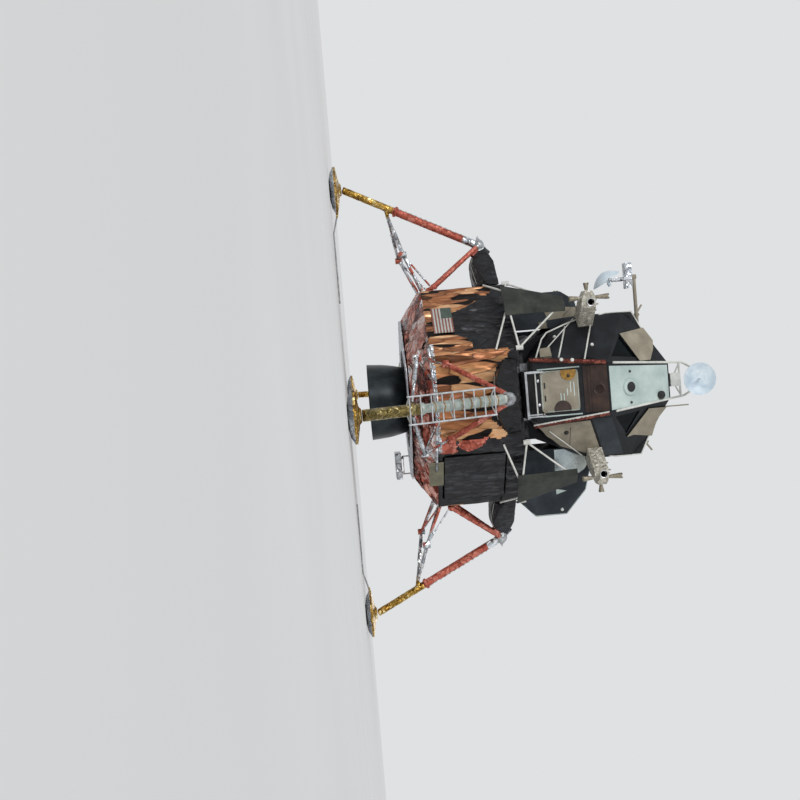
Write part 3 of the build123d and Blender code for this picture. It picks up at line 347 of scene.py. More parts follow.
def wrapped(node, spacing, crease, depth, materials, choose=None, seed=1, tall=1.0):
    """Film wrapped over a CAD node: its skin remeshed and pushed in along crushed folds, tall
    times higher than wide. choose gives a face's place in materials from its centre and the
    way it faces."""
    copy = NODES[node].data.copy()
    copy.materials.clear()
    mesh_edit = bmesh.new()
    mesh_edit.from_mesh(copy)
    bmesh.ops.remove_doubles(mesh_edit, verts=mesh_edit.verts, dist=0.0002)
    mesh_edit.to_mesh(copy)
    mesh_edit.free()
    mesh = remeshed(copy, spacing)
    points, normals = read(mesh.vertices, "co"), read(mesh.vertex_normals, "vector")
    height = folds(points * (1, 1, 1 / tall), crease, seed)
    points -= normals * (depth * (1 - height))[:, None]
    mesh.vertices.foreach_set("co", points.ravel())
    mesh.shade_smooth()
    piece = mesh_piece(node + ".wrap", mesh, materials, NODES[node]["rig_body"])
    if choose:
        mesh.update()
        indices = choose(read(mesh.polygons, "center"), read(mesh.polygons, "normal"))
        mesh.polygons.foreach_set("material_index", np.asarray(indices, dtype=np.int32))
    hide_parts(node)


def dress(node, material):
    """The CAD node keeps its shape and gets this material."""
    NODES[node].data.materials.clear()
    NODES[node].data.materials.append(material)


def from_lists(name, points, faces, material, body, smooth=False):
    """A piece from plain points and faces, with its faces turned outwards."""
    mesh = bpy.data.meshes.new(name)
    mesh.from_pydata([tuple(p) for p in points], [], faces)
    mesh_edit = bmesh.new()
    mesh_edit.from_mesh(mesh)
    bmesh.ops.recalc_face_normals(mesh_edit, faces=mesh_edit.faces)
    mesh_edit.to_mesh(mesh)
    mesh_edit.free()
    if smooth:
        mesh.shade_smooth()
    return mesh_piece(name, mesh, [material], body)


def outline_normal(corners):
    """The way that a flat outline faces, as long as twice its area."""
    return sum(((corners[i] - corners[0]).cross(corners[i + 1] - corners[0])
                for i in range(1, len(corners) - 1)), Vector())


BEVEL = 0.002


def plate(name, corners, thickness, material, body="lander", slot="black_panel"):
    """A flat plate on these corners with a thickness along its normal and a narrow bevel."""
    corners = [Vector(c) for c in corners]
    count = len(corners)
    normal = outline_normal(corners).normalized()
    centre = sum(corners, Vector()) / count
    rings = []
    for lift, pull in ((0, 0), (thickness - BEVEL, 0), (thickness, BEVEL)):
        rings += [c + normal * lift + (centre - c).normalized() * pull for c in corners]
    faces = [tuple(range(count))[::-1], tuple(range(2 * count, 3 * count))]
    for ring in (0, count):
        for i in range(count):
            j = (i + 1) % count
            faces.append((ring + i, ring + j, ring + count + j, ring + count + i))
    from_lists(name, rings, faces, material, body)


def closed_rings(count, sides, first=True, last=True):
    """The faces between rings of points that follow each other, and over the end rings."""
    faces = []
    for i in range(count - 1):
        for k in range(sides):
            a, b = i * sides + k, i * sides + (k + 1) % sides
            faces.append((a, b, b + sides, a + sides))
    if first:
        faces.append(tuple(range(sides))[::-1])
    if last:
        faces.append(tuple(range((count - 1) * sides, count * sides)))
    return faces


def circle(centre, across, other, radius, sides):
    """Points round a centre, in the plane of two directions at right angles."""
    turns = [2 * math.pi * k / sides for k in range(sides)]
    return [centre + (across * math.cos(turn) + other * math.sin(turn)) * radius for turn in turns]


def tube(name, path, radius, material, body="lander", slot="white_tube", sides=12):
    """A round tube along a path of points, closed at both ends."""
    path = [Vector(p) for p in path]
    points = []
    for i, centre in enumerate(path):
        along = (path[min(i + 1, len(path) - 1)] - path[max(i - 1, 0)]).normalized()
        across = along.cross(Vector((0.31, 0.17, 0.94)) if abs(along.z) < 0.9 else Vector((1, 0.1, 0)))
        across.normalize()
        other = along.cross(across)
        points += circle(centre, across, other, radius, sides)
    from_lists(name, points, closed_rings(len(path), sides), material, body, smooth=True)


def turned(name, centre, axis, profile, material, body="lander", slot="bare_metal", sides=40):
    """A turned piece: (radius, height) pairs spun round an axis through the centre."""
    axis = Vector(axis).normalized()
    across = axis.cross(Vector((0.2, 0.1, 0.97)) if abs(axis.z) < 0.9 else Vector((1, 0.1, 0)))
    across.normalize()
    other = axis.cross(across)
    points = []
    for radius, height in profile:
        points += circle(Vector(centre) + axis * height, across, other, radius, sides)
    faces = closed_rings(len(profile), sides, first=profile[0][0] > 0, last=profile[-1][0] > 0)
    from_lists(name, points, faces, material, body)


# The descent body's blankets: where the front faces begin, the tops of the front's silver
# band and the copper keel, how high film hangs on the faces that the photo doesn't show, and
# the outlines of the blankets on the front and on the left quarter, each across and up
FRONT_Y = -1.9
BAND_TOP, KEEL_TOP = 1.68, 1.585
STARBOARD_TOP, AFT_TOP, PORT_TOP, AFT_QUARTER_TOP = 2.45, 2.75, 2.1, 2.0
AMBER_FRONT = [(-0.90, 3.07), (-0.72, 3.02), (-0.63, 2.82), (-0.45, 2.77), (-0.32, 2.72), (0.10, 2.66),
               (0.40, 2.64), (0.56, 2.81), (0.71, 2.93), (0.77, 2.75), (0.72, 2.57), (0.80, 2.20),
               (0.72, 1.85), (0.67, 1.50), (-0.90, 1.50)]
SALMON_HIGH = [(0.72, 2.57), (0.80, 2.50), (0.90, 2.38), (0.96, 2.18), (0.90, 2.05), (0.81, 1.98),
               (0.74, 2.1)]
SALMON_LOW = [(0.72, 1.93), (0.84, 1.95), (0.95, 1.97), (0.98, 1.87), (0.96, 1.62), (0.70, 1.60),
              (0.67, 1.70)]
LOOSE_RIGHT = [(-0.86, 2.42), (-1.0, 2.42), (-1.12, 2.35), (-1.2, 2.12), (-1.38, 2.05), (-1.42, 1.9),
               (-1.40, 1.50), (-0.86, 1.50)]
LOOSE_LEFT = [(-2.14, 2.80), (-2.06, 2.97), (-1.98, 2.95), (-1.86, 2.72), (-1.71, 2.40), (-1.60, 2.04),
              (-1.44, 1.81), (-1.42, 1.50), (-2.14, 1.50)]


def body_choice(centres, facing):
    """Black (0) above and on the right quarter, amber (1, loose 3) in front and low on the far
    faces, copper (2) on the keel, salmon (4) beside the ladder and a silver band (5) in front."""
    x, y, z = centres.T
    ragged = 0.05 * np.abs((x * 9 + z * 2) % 1 - 0.5) + 0.03 * np.abs((x * 23 - z * 3) % 1 - 0.5)
    up = z + ragged
    fore = y < FRONT_Y
    left = (x + y < -2.85) & (x < -0.85)
    choice = np.zeros(len(x), dtype=int)
    choice[fore & inside(AMBER_FRONT, x, up)] = 1
    choice[fore & (inside(SALMON_HIGH, x, up) | inside(SALMON_LOW, x, up))] = 4
    choice[left & (inside(LOOSE_RIGHT, x, up) | inside(LOOSE_LEFT, x, up))] = 3
    choice[(x < -2.0) & (np.abs(y) < CORNER) & (up < STARBOARD_TOP)] = 3
    choice[(y > 2.0) & (np.abs(x) < CORNER) & (up < AFT_TOP)] = 1
    choice[(x > 2.0) & (np.abs(y) < CORNER) & (up < PORT_TOP)] = 3
    choice[(y > 0.9) & (np.abs(x) > CORNER) & (up < AFT_QUARTER_TOP)] = 3
    choice[fore & (up < BAND_TOP) & (x < 0.95)] = 5
    choice[z < KEEL_TOP] = 2
    choice[(facing[:, 2] > 0.7) & (z > 3.1)] = 0
    return choice


wrapped("descent_body", 0.029, 0.22, 0.034, [BLACK, AMBER, COPPER, AMBER_LOOSE, SALMON, SILVER],
        body_choice, seed=3, tall=3.5)
wrapped("base_plate", 0.018, 0.16, 0.008, [SHIELD], seed=5)


def lining():
    """The engine bay's lining as one crushed cone of foil, open at both ends."""
    low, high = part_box("bay_lining")
    rows, columns = 36, 180
    mouth, neck, gap = 1.0, 0.68, 0.004
    fold_size, fold_depth, skin_depth = 0.14, 0.022, 0.012
    grid = []
    for i in range(rows):
        share = i / (rows - 1)
        radius = mouth - gap + (neck - mouth) * share
        up = low.z + (high.z - low.z) * share
        for k in range(columns):
            turn = 2 * math.pi * k / columns
            grid.append((radius * math.cos(turn), radius * math.sin(turn), up))
    outer = np.array(grid)
    height = folds(outer, fold_size, 7)
    ring = np.hypot(outer[:, 0], outer[:, 1])
    inner = outer.copy()
    inner[:, :2] *= ((ring - fold_depth * height) / ring)[:, None]
    inner[:, :2] *= ((ring - skin_depth) / ring)[:, None]
    faces = closed_rings(rows, columns, first=False, last=False)
    total = rows * columns
    faces += [tuple(total + i for i in reversed(face)) for face in faces]
    for row in (0, rows - 1):
        for k in range(columns):
            a, b = row * columns + k, row * columns + (k + 1) % columns
            faces.append((a, b, total + b, total + a))
    piece = from_lists("bay_lining.foil", np.vstack((outer, inner)), faces, LINING, "lander",
                       smooth=True)
    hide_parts("bay_lining")


lining()


# Where a strut's finishes change, as shares of the way from its knee to its foot ball
BARE_END, SEAM_END, GOLD_START = 0.115, 0.6, 0.63


def strut_choice(out):
    """Finishes down a strut: bare (2) at its top, film (0) below it, then gold (1) from the
    collar. On all but the front strut a bare seam runs down the film's outer side."""
    start = np.array((KNEE_REACH * out[0], KNEE_REACH * out[1], KNEE_HEIGHT))
    end = np.array((PAD_REACH * out[0], PAD_REACH * out[1], PAD_HEIGHT))
    length = np.linalg.norm(end - start)
    along = (end - start) / length

    def choose(centres, facing):
        share = (centres - start) @ along / length
        outward = facing @ np.array((out[0], out[1], 0.35))
        choice = np.zeros(len(share), dtype=int)
        choice[share < BARE_END] = 2
        if out[1] >= 0:
            choice[(share >= BARE_END) & (share < SEAM_END) & (outward > 0.9)] = 2
        choice[share >= GOLD_START] = 1
        return choice
    return choose


def leg_point(out, reach, side, up):
    """The point that far out, to the side and up on the leg that points that way."""
    return Vector((reach * out[0] - side * out[1], reach * out[1] + side * out[0], up))


# The knots down a strut: how many, the first one's place, their spacing, how far they stand
# off the strut's axis and their shape
BEADS, BEAD_START, BEAD_PITCH, BEAD_OFF = 13, 0.40, 0.108, 0.074
BEAD = ((0.024, 0), (0.028, 0.008), (0.02, 0.016), (0, 0.019))


def strut_beads(leg, out):
    """The row of pale folded knots down the outer seam of a strut's film."""
    start = leg_point(out, KNEE_REACH, 0, KNEE_HEIGHT)
    axis = (leg_point(out, PAD_REACH, 0, PAD_HEIGHT) - start).normalized()
    outer = leg_point(out, axis.length, 0, 0)
    outer = (outer - axis * outer.dot(axis)).normalized()
    for bead in range(BEADS):
        at = start + axis * (BEAD_START + BEAD_PITCH * bead) + outer * BEAD_OFF
        turned(f"strut_bead_{leg}_{bead}", at, outer, BEAD, WHITE, slot="red_foil", sides=10)


# An outrigger's hanging cover from above: where it starts, its length, its half width there
# and how much narrower it gets. Its tape runs at a share of that width.
COVER_REACH, COVER_LENGTH = 2.11, 0.77
COVER_HALF, COVER_NARROWING = 0.70, 0.63
TAPE_START, TAPE_STEP, TAPE_POINTS, TAPE_SHARE = 2.16, 0.07, 9, 0.62
UNDER_COVER = 2.4


def cover_rim(leg, out):
    """The pale edge tape under an outrigger's hanging cover, laid on the cover's own surface."""
    cover = NODES[f"outrigger_{leg}"].data
    faces = [tuple(p.vertices) for p in cover.polygons]
    surface = BVHTree.FromPolygons([v.co for v in cover.vertices], faces)
    for side in (-1, 1):
        path = []
        for step in range(TAPE_POINTS):
            reach = TAPE_START + TAPE_STEP * step
            half = COVER_HALF - COVER_NARROWING * (reach - COVER_REACH) / COVER_LENGTH
            below = leg_point(out, reach, side * half * TAPE_SHARE, UNDER_COVER)
            place = surface.ray_cast(below, Vector((0, 0, 1)))[0]
            if place:
                path.append(place - Vector((0, 0, 0.002)))
        tube(f"cover_rim_{leg}_{side + 1}", path, 0.006, GREY_PAINT, slot="black_foil", sides=8)


# An outrigger's lower member: both ends as reach, side and height, and its radius with film.
# Below the cover all is salmon, and near the knee and beyond it all is bare.
MEMBER_START, MEMBER_END = np.array((2.94, 0.06, 2.86)), np.array((2.15, 0.69, 1.85))
MEMBER_RADIUS = 0.078
COVER_UNDERSIDE = 2.6
KNEE_RADIUS, KNEE_END = 0.14, 3.0


def outrigger_choice(out):
    """Finishes of an outrigger: black (0) on the hanging cover, salmon (1) on the two lower
    members and bare metal (2) at the knee."""
    along = (MEMBER_END - MEMBER_START) / np.linalg.norm(MEMBER_END - MEMBER_START)

    def choose(centres, facing):
        reach = centres[:, 0] * out[0] + centres[:, 1] * out[1]
        side = np.abs(centres[:, 1] * out[0] - centres[:, 0] * out[1])
        place = np.stack((reach, side, centres[:, 2]), axis=1)
        away = np.linalg.norm(np.cross(place - MEMBER_START, along), axis=1)
        choice = np.where((away < MEMBER_RADIUS) | (centres[:, 2] < COVER_UNDERSIDE), 1, 0)
        choice[np.linalg.norm(place - (KNEE_REACH, 0, KNEE_HEIGHT), axis=1) < KNEE_RADIUS] = 2
        choice[reach > KNEE_END] = 2
        return choice
    return choose


def pad_choice(centres, facing):
    """A footpad's gold (0), and silver (1) where it faces down."""
    return (facing[:, 2] < -0.3).astype(int)


for leg, out in LEGS:
    strut = f"primary_strut_{leg}"
    if leg == "front":
        wrapped(strut, 0.014, 0.09, 0.008, [SLEEVE, OLIVE_GOLD, WHITE], strut_choice(out), seed=11)
    else:
        wrapped(strut, 0.014, 0.08, 0.009, [SALMON, GOLD, SILVER], strut_choice(out), seed=12)
        strut_beads(leg, out)
    wrapped(f"side_struts_{leg}", 0.011, 0.06, 0.004, [SILVER], seed=13)
    wrapped(f"footpad_{leg}", 0.014, 0.11, 0.010, [GOLD, SILVER], pad_choice, seed=14)
    wrapped(f"outrigger_{leg}", 0.018, 0.12, 0.012, [BLACK, SALMON, BARE], outrigger_choice(out), seed=15)
    cover_rim(leg, out)


# The bands of salmon film on the gear trusses: how fast they follow each other along each
# axis. And the heights and the reach past which a quad is all nozzle.
TRUSS_BANDS = np.array((9.0, 7.0, 12.0))
NOZZLE_ABOVE, NOZZLE_BELOW, NOZZLE_OUT = 4.775, 4.455, 1.84


def truss_choice(centres, facing):
    """The gear trusses' silver film (0), with bands of salmon film (1)."""
    return (np.sin(centres @ TRUSS_BANDS) > 0.55).astype(int)


def brace_choice(centres, facing):
    """The front braces' dark red film (0), and on the inner side of the one on +X a white strip (1) that is a
    painted highlight.
    """
    return ((centres[:, 0] > 0) & (facing[:, 0] < -0.35)).astype(int)


def quad_choice(centres, facing):
    """A thruster quad's housing (0) and its four nozzles (1)."""
    x, y, z = np.abs(centres).T
    return ((z > NOZZLE_ABOVE) | (z < NOZZLE_BELOW) | (x > NOZZLE_OUT) | (y > NOZZLE_OUT)).astype(int)


wrapped("gear_trusses", 0.0125, 0.06, 0.004, [SILVER, SALMON], truss_choice, seed=16)
wrapped("landing_radar", 0.014, 0.10, 0.006, [SILVER], seed=17)
wrapped("antenna_yoke", 0.009, 0.07, 0.004, [SILVER], seed=18)
wrapped("front_braces", 0.0095, 0.05, 0.004, [DARK_RED, WHITE], brace_choice, seed=19)
BRACE_HIGH, BRACE_LOW = Vector((-0.475, -2.00, 4.83)), Vector((-0.625, -1.84, 3.42))
BRACE_FITTING = ((0, 0), (0.034, 0), (0.034, 0.016), (0.02, 0.026), (0, 0.026))
for name, share in (("brace_fitting_high", 0.44), ("brace_fitting_low", 0.58)):
    at = BRACE_HIGH.lerp(BRACE_LOW, share) + Vector((-0.02, -0.03, 0))
    turned(name, at, (-0.4, -0.9, 0), BRACE_FITTING, WHITE)
for quad in QUADS:
    wrapped(f"thruster_quad_{quad}", 0.010, 0.05, 0.003, [HOUSING, NOZZLE], quad_choice, seed=20)
    dress(f"plume_deflector_{quad}", DEFLECTOR)

for material, nodes in (
    (BARE, ("gimbal_ring", "porch", "landing_radar_bracket", "docking_tunnel", "overhead_hatch",
            "interstage_fittings", "radar_yoke", "contact_probe_port", "contact_probe_aft",
            "contact_probe_starboard")),
    (BEIGE, ("forward_hatch", "window_visors", "antenna_boom", "fixed_antennas")),
    (TEAL, ("tank_fairing_port", "tank_fairing_starboard", "aft_equipment_bay")),
    (PANEL, ("cabin_face", "cabin_shell", "midsection")),
    (WHITE, ("deflector_trusses", "radar_pedestal")),
    (BELL, ("engine_bell", "engine_chamber")),
    (DISH, ("radar_dish", "antenna_dish")),
    (TUBE, ("ladder",)), (GLASS, ("window_glass",)), (BLACK, ("stowage_pallet",)),
):
    for node in nodes:
        dress(node, material)

# A bright flange round each front quad's forward nozzle
FLANGE = ((0.066, 0), (0.075, 0.004), (0.076, 0.016), (0.070, 0.021), (0.062, 0.018), (0.062, 0.0))
for side in (-1, 1):
    turned(f"nozzle_flange_{side + 1}", (side * 1.6, -1.955, 4.64), (0, -1, 0), FLANGE, TUBE,
           slot="bare_metal")

# The ringed sleeve on the front strut: short pale sleeves with an orange band between them
front_knee = Vector((0, -KNEE_REACH, KNEE_HEIGHT))
front_pad = Vector((0, -PAD_REACH, PAD_HEIGHT))
front_axis = (front_pad - front_knee).normalized()
SLEEVES, SLEEVE_START, SLEEVE_PITCH = 8, 0.292, 0.182
SLEEVE_BACK, BAND_BACK = 0.160, 0.012
SLEEVE_SHAPE = ((0.084, 0), (0.096, 0.006), (0.098, 0.05), (0.094, 0.10), (0.090, 0.148))
BAND_SHAPE = ((0.084, 0), (0.103, 0.002), (0.106, 0.008), (0.106, 0.016), (0.103, 0.022), (0.084, 0.024))
for ring in range(SLEEVES):
    at = front_knee + front_axis * (SLEEVE_START + ring * SLEEVE_PITCH)
    turned(f"front_sleeve_{ring}", at - front_axis * SLEEVE_BACK, front_axis, SLEEVE_SHAPE, SLEEVE,
           slot="red_foil")
    turned(f"front_band_{ring}", at - front_axis * BAND_BACK, front_axis, BAND_SHAPE, ORANGE,
           slot="red_foil")
# A silver roll of film along the lower front edge
FRONT_EDGE = [(-1.0, -2.02, 1.56), (-0.874, -2.115, 1.575), (-0.45, -2.12, 1.60), (0, -2.125, 1.62),
              (0.45, -2.12, 1.60), (0.874, -2.115, 1.57), (1.3, -1.70, 1.56)]
tube("front_edge_roll", FRONT_EDGE, 0.026, SILVER, slot="silver_foil")

# The front facets: each is a plane through the nose's upper corner
LOWER = Vector((0.672, -0.741, -0.017)).normalized()
SLOPE = Vector((0, -1280, 650)).normalized()


def on_facet(facet, x, z, lift=0.0):
    """The point at x and z on a front facet, lifted off it. At x below 0 the facet is mirrored."""
    side = 1 if x >= 0 or facet == SLOPE else -1
    normal = Vector((side * facet.x, facet.y, facet.z))
    start = Vector((side * NOSE_HALF, NOSE_Y, NOSE_Z)) if facet != SLOPE else Vector((0, NOSE_Y, NOSE_Z))
    y = start.y - (normal.x * (x - start.x) + normal.z * (z - start.z)) / normal.y
    return Vector((x, y, z)) + normal * lift


def facet_plate(name, facet, outline, thickness, material, lift=0.0, slot="black_panel"):
    """A plate on a front facet, its outline given across and up."""
    corners = [on_facet(facet, x, z, lift) for x, z in outline]
    if outline_normal(corners).y > 0:
        corners.reverse()
    plate(name, corners, thickness, material, slot=slot)


# Panels on the right lower facet, the dark one above it and a small box on the left facet
PANEL_RIGHT = ((0.587, 4.48), (1.177, 4.725), (1.30, 4.715), (1.25, 4.466), (1.063, 3.963), (0.636, 3.50))
PANEL_LOW = ((0.60, 3.80), (1.02, 3.97), (0.83, 3.68), (0.64, 3.53))
PANEL_HIGH = ((0.56, 4.52), (1.17, 4.76), (1.33, 4.78), (1.33, 5.2), (0.56, 4.89))
BOX_LEFT = ((-0.80, 3.86), (-0.63, 3.86), (-0.63, 3.64), (-0.78, 3.66))
PANEL_LIFT = 0.008
for name, outline, thickness, material, lift, slot in (
    ("cabin_panel_right", PANEL_RIGHT, PANEL_LIFT, BEIGE, 0.0, "olive_panel"),
    ("cabin_panel_right_low", PANEL_LOW, 0.004, BEIGE, PANEL_LIFT, "olive_panel"),
    ("cabin_panel_right_high", PANEL_HIGH, 0.006, TEAL, 0.0, "black_panel"),
    ("cabin_panel_left_box", BOX_LEFT, 0.05, BEIGE, 0.0, "olive_panel"),
):
    facet_plate(name, LOWER, outline, thickness, material, lift, slot)
KNOB = ((0, 0), (0.022, 0), (0.022, 0.02), (0, 0.028))
DOME = ((0, 0), (0.045, 0), (0.042, 0.018), (0.028, 0.034), (0, 0.04))
LAMP = ((0, 0), (0.03, 0), (0.034, 0.02), (0.026, 0.045), (0, 0.052))
turned("cabin_knob_right", on_facet(LOWER, 1.17, 4.70, PANEL_LIFT), LOWER, KNOB, WHITE)
turned("cabin_dome_right", on_facet(LOWER, 0.79, 4.05, PANEL_LIFT), LOWER, DOME, DARK)
tube("cabin_seam_right", [on_facet(LOWER, x, z, 0.009) for x, z in ((0.69, 4.12), (1.06, 4.14))], 0.005, DARK)
for name, x, z in (("cabin_lamp_left_low", -1.02, 4.0), ("cabin_lamp_left_high", -0.82, 4.66)):
    turned(name, on_facet(LOWER, x, z), LOWER, LAMP, WHITE)

# The white tubes that stand off the left lower facet
for name, points in (
    ("facet_tube_upper", ((-1.233, 4.75), (-0.538, 4.45))),
    ("facet_tube_lower", ((-1.17, 4.234), (-0.606, 3.982))),
    ("facet_tube_rim", ((-1.297, 4.51), (-1.21, 4.22), (-1.086, 3.86), (-0.97, 3.74), (-0.636, 3.562))),
):
    tube(name, [on_facet(LOWER, x, z, 0.02) for x, z in points], 0.016, WHITE)

# The tank covers' fronts: a polished sheet and small pale gussets on the port one, a beige
# panel with a seam and a small box on the other. Outlines across and up.
COVER_Y = -0.69


def cover_plate(name, outline, thickness, material, slot):
    """A plate on the front of a tank cover."""
    plate(name, [(x, COVER_Y, z) for x, z in outline], thickness, material, slot=slot)


SHEET = ((1.20, 4.70), (1.20, 3.95), (1.71, 3.93), (1.69, 4.41), (1.62, 4.52), (1.40, 4.68))
GUSSET_HIGH = ((2.02, 4.14), (1.97, 3.93), (2.08, 3.93))
GUSSET_LOW = ((1.67, 3.88), (1.66, 3.72), (1.78, 3.74))
SEAM_AND_HIGHLIGHT = ((1.40, 4.69), (2.02, 4.512), (2.468, 4.105), (2.468, 3.505), (2.235, 3.282))
STRIP = [(2.245, -0.66, 3.275), (2.475, -0.66, 3.495), (2.475, 0.6, 3.495), (2.245, 0.6, 3.275)]
COVER_LAMP = ((0, 0), (0.03, 0), (0.032, 0.02), (0.02, 0.04), (0, 0.045))
cover_plate("cover_sheet_port", SHEET, 0.004, POLISHED, "silver_foil")
cover_plate("cover_gusset_port", GUSSET_HIGH, 0.004, PALE, "white_tube")
cover_plate("cover_gusset_port_low", GUSSET_LOW, 0.004, PALE, "white_tube")
# A pale tube along the port cover's front outline: a seam, and also a painted highlight on that edge
tube("cover_seam_and_highlight_port", [(x, COVER_Y - 0.003, z) for x, z in SEAM_AND_HIGHLIGHT], 0.007, PALE)
plate("cover_strip_port", STRIP, -0.004, POLISHED, slot="silver_foil")
turned("cover_lamp_port", (2.38, COVER_Y, 4.02), (0, -1, 0), COVER_LAMP, LENS)
COVER_PANEL = ((-1.55, 4.58), (-1.62, 3.92), (-1.34, 4.03), (-1.38, 4.62))
COVER_SEAM = ((-1.55, 4.50), (-1.39, 4.32))
COVER_BOX = ((-1.335, 3.98), (-1.304, 3.837), (-1.182, 3.827), (-1.182, 4.0))
cover_plate("cover_panel_starboard", COVER_PANEL, 0.006, BEIGE, "olive_panel")
tube("cover_seam_starboard", [(x, COVER_Y - 0.007, z) for x, z in COVER_SEAM], 0.004, DARK)
cover_plate("cover_box_starboard", COVER_BOX, 0.05, BEIGE, "olive_panel")


def panelled(name, corner, across, up, finishes, side):
    """Thin sheets side by side over a flat face, one for each finish, with narrow seams
    between them. The face runs across and up from its corner; side -1 lays its mirror image
    on the other side."""
    corner, across, up = Vector(corner), Vector(across), Vector(up)
    seam = 0.012 / across.length
    columns = len(finishes)
    for column in range(columns):
        left = across * (column / columns + seam)
        right = across * ((column + 1) / columns - seam)
        corners = [corner + left, corner + right, corner + right + up, corner + left + up]
        if side < 0:
            corners = [Vector((-c.x, c.y, c.z)) for c in reversed(corners)]
        plate(f"{name}_{column}", corners, 0.005, finishes[column])


# Sheets on the sides, the back and the roof slopes: name, a lower corner, across, up, their
# finishes and the side. The first three faces are on both sides.
BAY_SIDE = ((1.151, 0.71, 4.02), (0, 1.06, 0), (0, 0, 1.2), (PANEL, BEIGE))
MIDDLE_SIDE = ((1.179, -0.66, 5.02), (0, 1.32, 0), (-0.074, 0, 0.52), (PANEL, TEAL, PANEL))
ROOF_SLOPE = ((1.095, -0.66, 5.566), (0, 1.32, 0), (-0.30, 0, 0.272), (TEAL, PANEL))
for name, corner, across, up, finishes, side in (
    ("bay_back", (1.0, 1.951, 3.93), (-2.0, 0, 0), (0, 0, 1.30), (TEAL, PANEL, TEAL), 1),
    ("bay_slope", (1.0, 1.94, 5.262), (-2.0, 0, 0), (0, -0.52, 0.35), (BEIGE, TEAL, BEIGE), 1),
    ("bay_side_port", *BAY_SIDE, 1), ("bay_side_starboard", *BAY_SIDE, -1),
    ("cover_side_port", (2.481, -0.67, 3.52), (0, 1.34, 0), (0, 0, 0.58), (TEAL, PANEL), 1),
    ("cover_slope_port", (2.472, -0.67, 4.12), (0, 1.34, 0), (-0.43, 0, 0.392), (TEAL, BEIGE), 1),
    ("cover_top_port", (2.02, -0.67, 4.525), (0, 1.34, 0), (-0.80, 0, 0.226), (PANEL, TEAL), 1),
    ("cover_side_starboard", (1.881, -0.67, 3.52), (0, 1.34, 0), (0, 0, 0.76), (PANEL, TEAL), -1),
    ("cover_slope_starboard", (1.877, -0.67, 4.31), (0, 1.34, 0), (-0.166, 0, 0.24), (BEIGE, TEAL), -1),
    ("middle_side_port", *MIDDLE_SIDE, 1), ("middle_side_starboard", *MIDDLE_SIDE, -1),
    ("roof_slope_port", *ROOF_SLOPE, 1), ("roof_slope_starboard", *ROOF_SLOPE, -1),
):
    panelled(name, corner, across, up, finishes, side)

# On both sides, a long white tube that crosses in front of the lower facet, and a pale edge
# tube down the cabin's rim
CROSS_TUBE = ((1.30, 4.42), (0.72, 3.72))
CABIN_RIM = ((0.76, 5.905), (1.05, 5.725), (1.375, 5.56), (1.378, 5.06), (1.34, 4.87), (1.27, 4.66))
RIM_Y = -1.155
for side in (-1, 1):
    tube(f"cross_tube_{side + 1}", [on_facet(LOWER, side * x, z, 0.03) for x, z in CROSS_TUBE], 0.012, WHITE)
for side in (-1, 1):
    tube(f"rim_tube_{side + 1}", [(side * x, RIM_Y, z) for x, z in CABIN_RIM], 0.014, WHITE)

# The pale panel on the top slope, its lamps and its round fittings
facet_plate("slope_panel", SLOPE, ((-0.30, 6.13), (0.355, 6.13), (0.43, 4.88), (-0.395, 4.88)), PANEL_LIFT,
            PALE, slot="olive_panel")
SMALL_LAMP = ((0, 0), (0.022, 0), (0.022, 0.02), (0, 0.03))
LIGHT = ((0, 0), (0.158, 0), (0.158, 0.03), (0.145, 0.042), (0.104, 0.042))
for name, x, z, profile, material in (
    ("tracking_light", 0.037, 5.287, LIGHT, PALE),
    ("tracking_light_lens", 0.037, 5.287, ((0, 0.035), (0.104, 0.035), (0.09, 0.05), (0, 0.058)), DARK),
    ("slope_fitting", 0.257, 5.94, ((0, 0), (0.076, 0), (0.076, 0.05), (0.05, 0.075), (0, 0.075)), DARK),
    ("slope_lamp_left", -0.255, 5.305, SMALL_LAMP, DARK),
    ("slope_lamp_right", 0.328, 5.295, SMALL_LAMP, DARK),
):
    turned(name, on_facet(SLOPE, x, z, PANEL_LIFT), SLOPE, profile, material)

# The recess under the nose: a dark brown sloping panel with a ledge and a round mark
RECESS = Vector((0, -0.46, -0.17)).normalized()
RECESS_LOW, RECESS_HIGH = (-1.80, 4.40), (-1.97, 4.86)


def in_recess(x, share, lift=0.0):
    """The point across the recess at this share of its height, lifted off it."""
    y = RECESS_LOW[0] + (RECESS_HIGH[0] - RECESS_LOW[0]) * share
    z = RECESS_LOW[1] + (RECESS_HIGH[1] - RECESS_LOW[1]) * share
    return Vector((x, y, z)) + RECESS * lift


RECESS_PANEL = ((-0.43, 0.96), (-0.43, 0.04), (0.44, 0.04), (0.44, 0.96))
RECESS_LEDGE = ((-0.42, 0.3), (-0.42, 0.22), (0.43, 0.22), (0.43, 0.3))
RECESS_SKIN = 0.006
plate("recess_panel", [in_recess(x, s) for x, s in RECESS_PANEL], RECESS_SKIN, BROWN)
plate("recess_ledge", [in_recess(x, s, RECESS_SKIN) for x, s in RECESS_LEDGE], 0.02, BROWN)
turned("recess_ring", in_recess(0.02, 0.62, RECESS_SKIN), RECESS, ((0.085, 0), (0.1, 0.008), (0.115, 0)),
       BROWN, slot="black_panel")

# The forward hatch's fittings, on the hatch itself
HATCH = {"body": "forward_hatch", "slot": "olive_panel"}


def clipped_disc(name, x, z, radius, edge_x, thickness, material):
    """A disc on the hatch cut off at the hatch's upright edge."""
    corners = []
    sides = 48
    for k in range(sides):
        turn = -2 * math.pi * k / sides
        across = x + radius * math.cos(turn)
        across = max(across, edge_x) if edge_x < 0 else min(across, edge_x)
        corners.append((across, HATCH_Y, z + radius * math.sin(turn)))
    distinct = [c for i, c in enumerate(corners) if (Vector(c) - Vector(corners[i - 1])).length > 1e-4]
    plate(name, distinct[::-1], thickness, material, **HATCH)


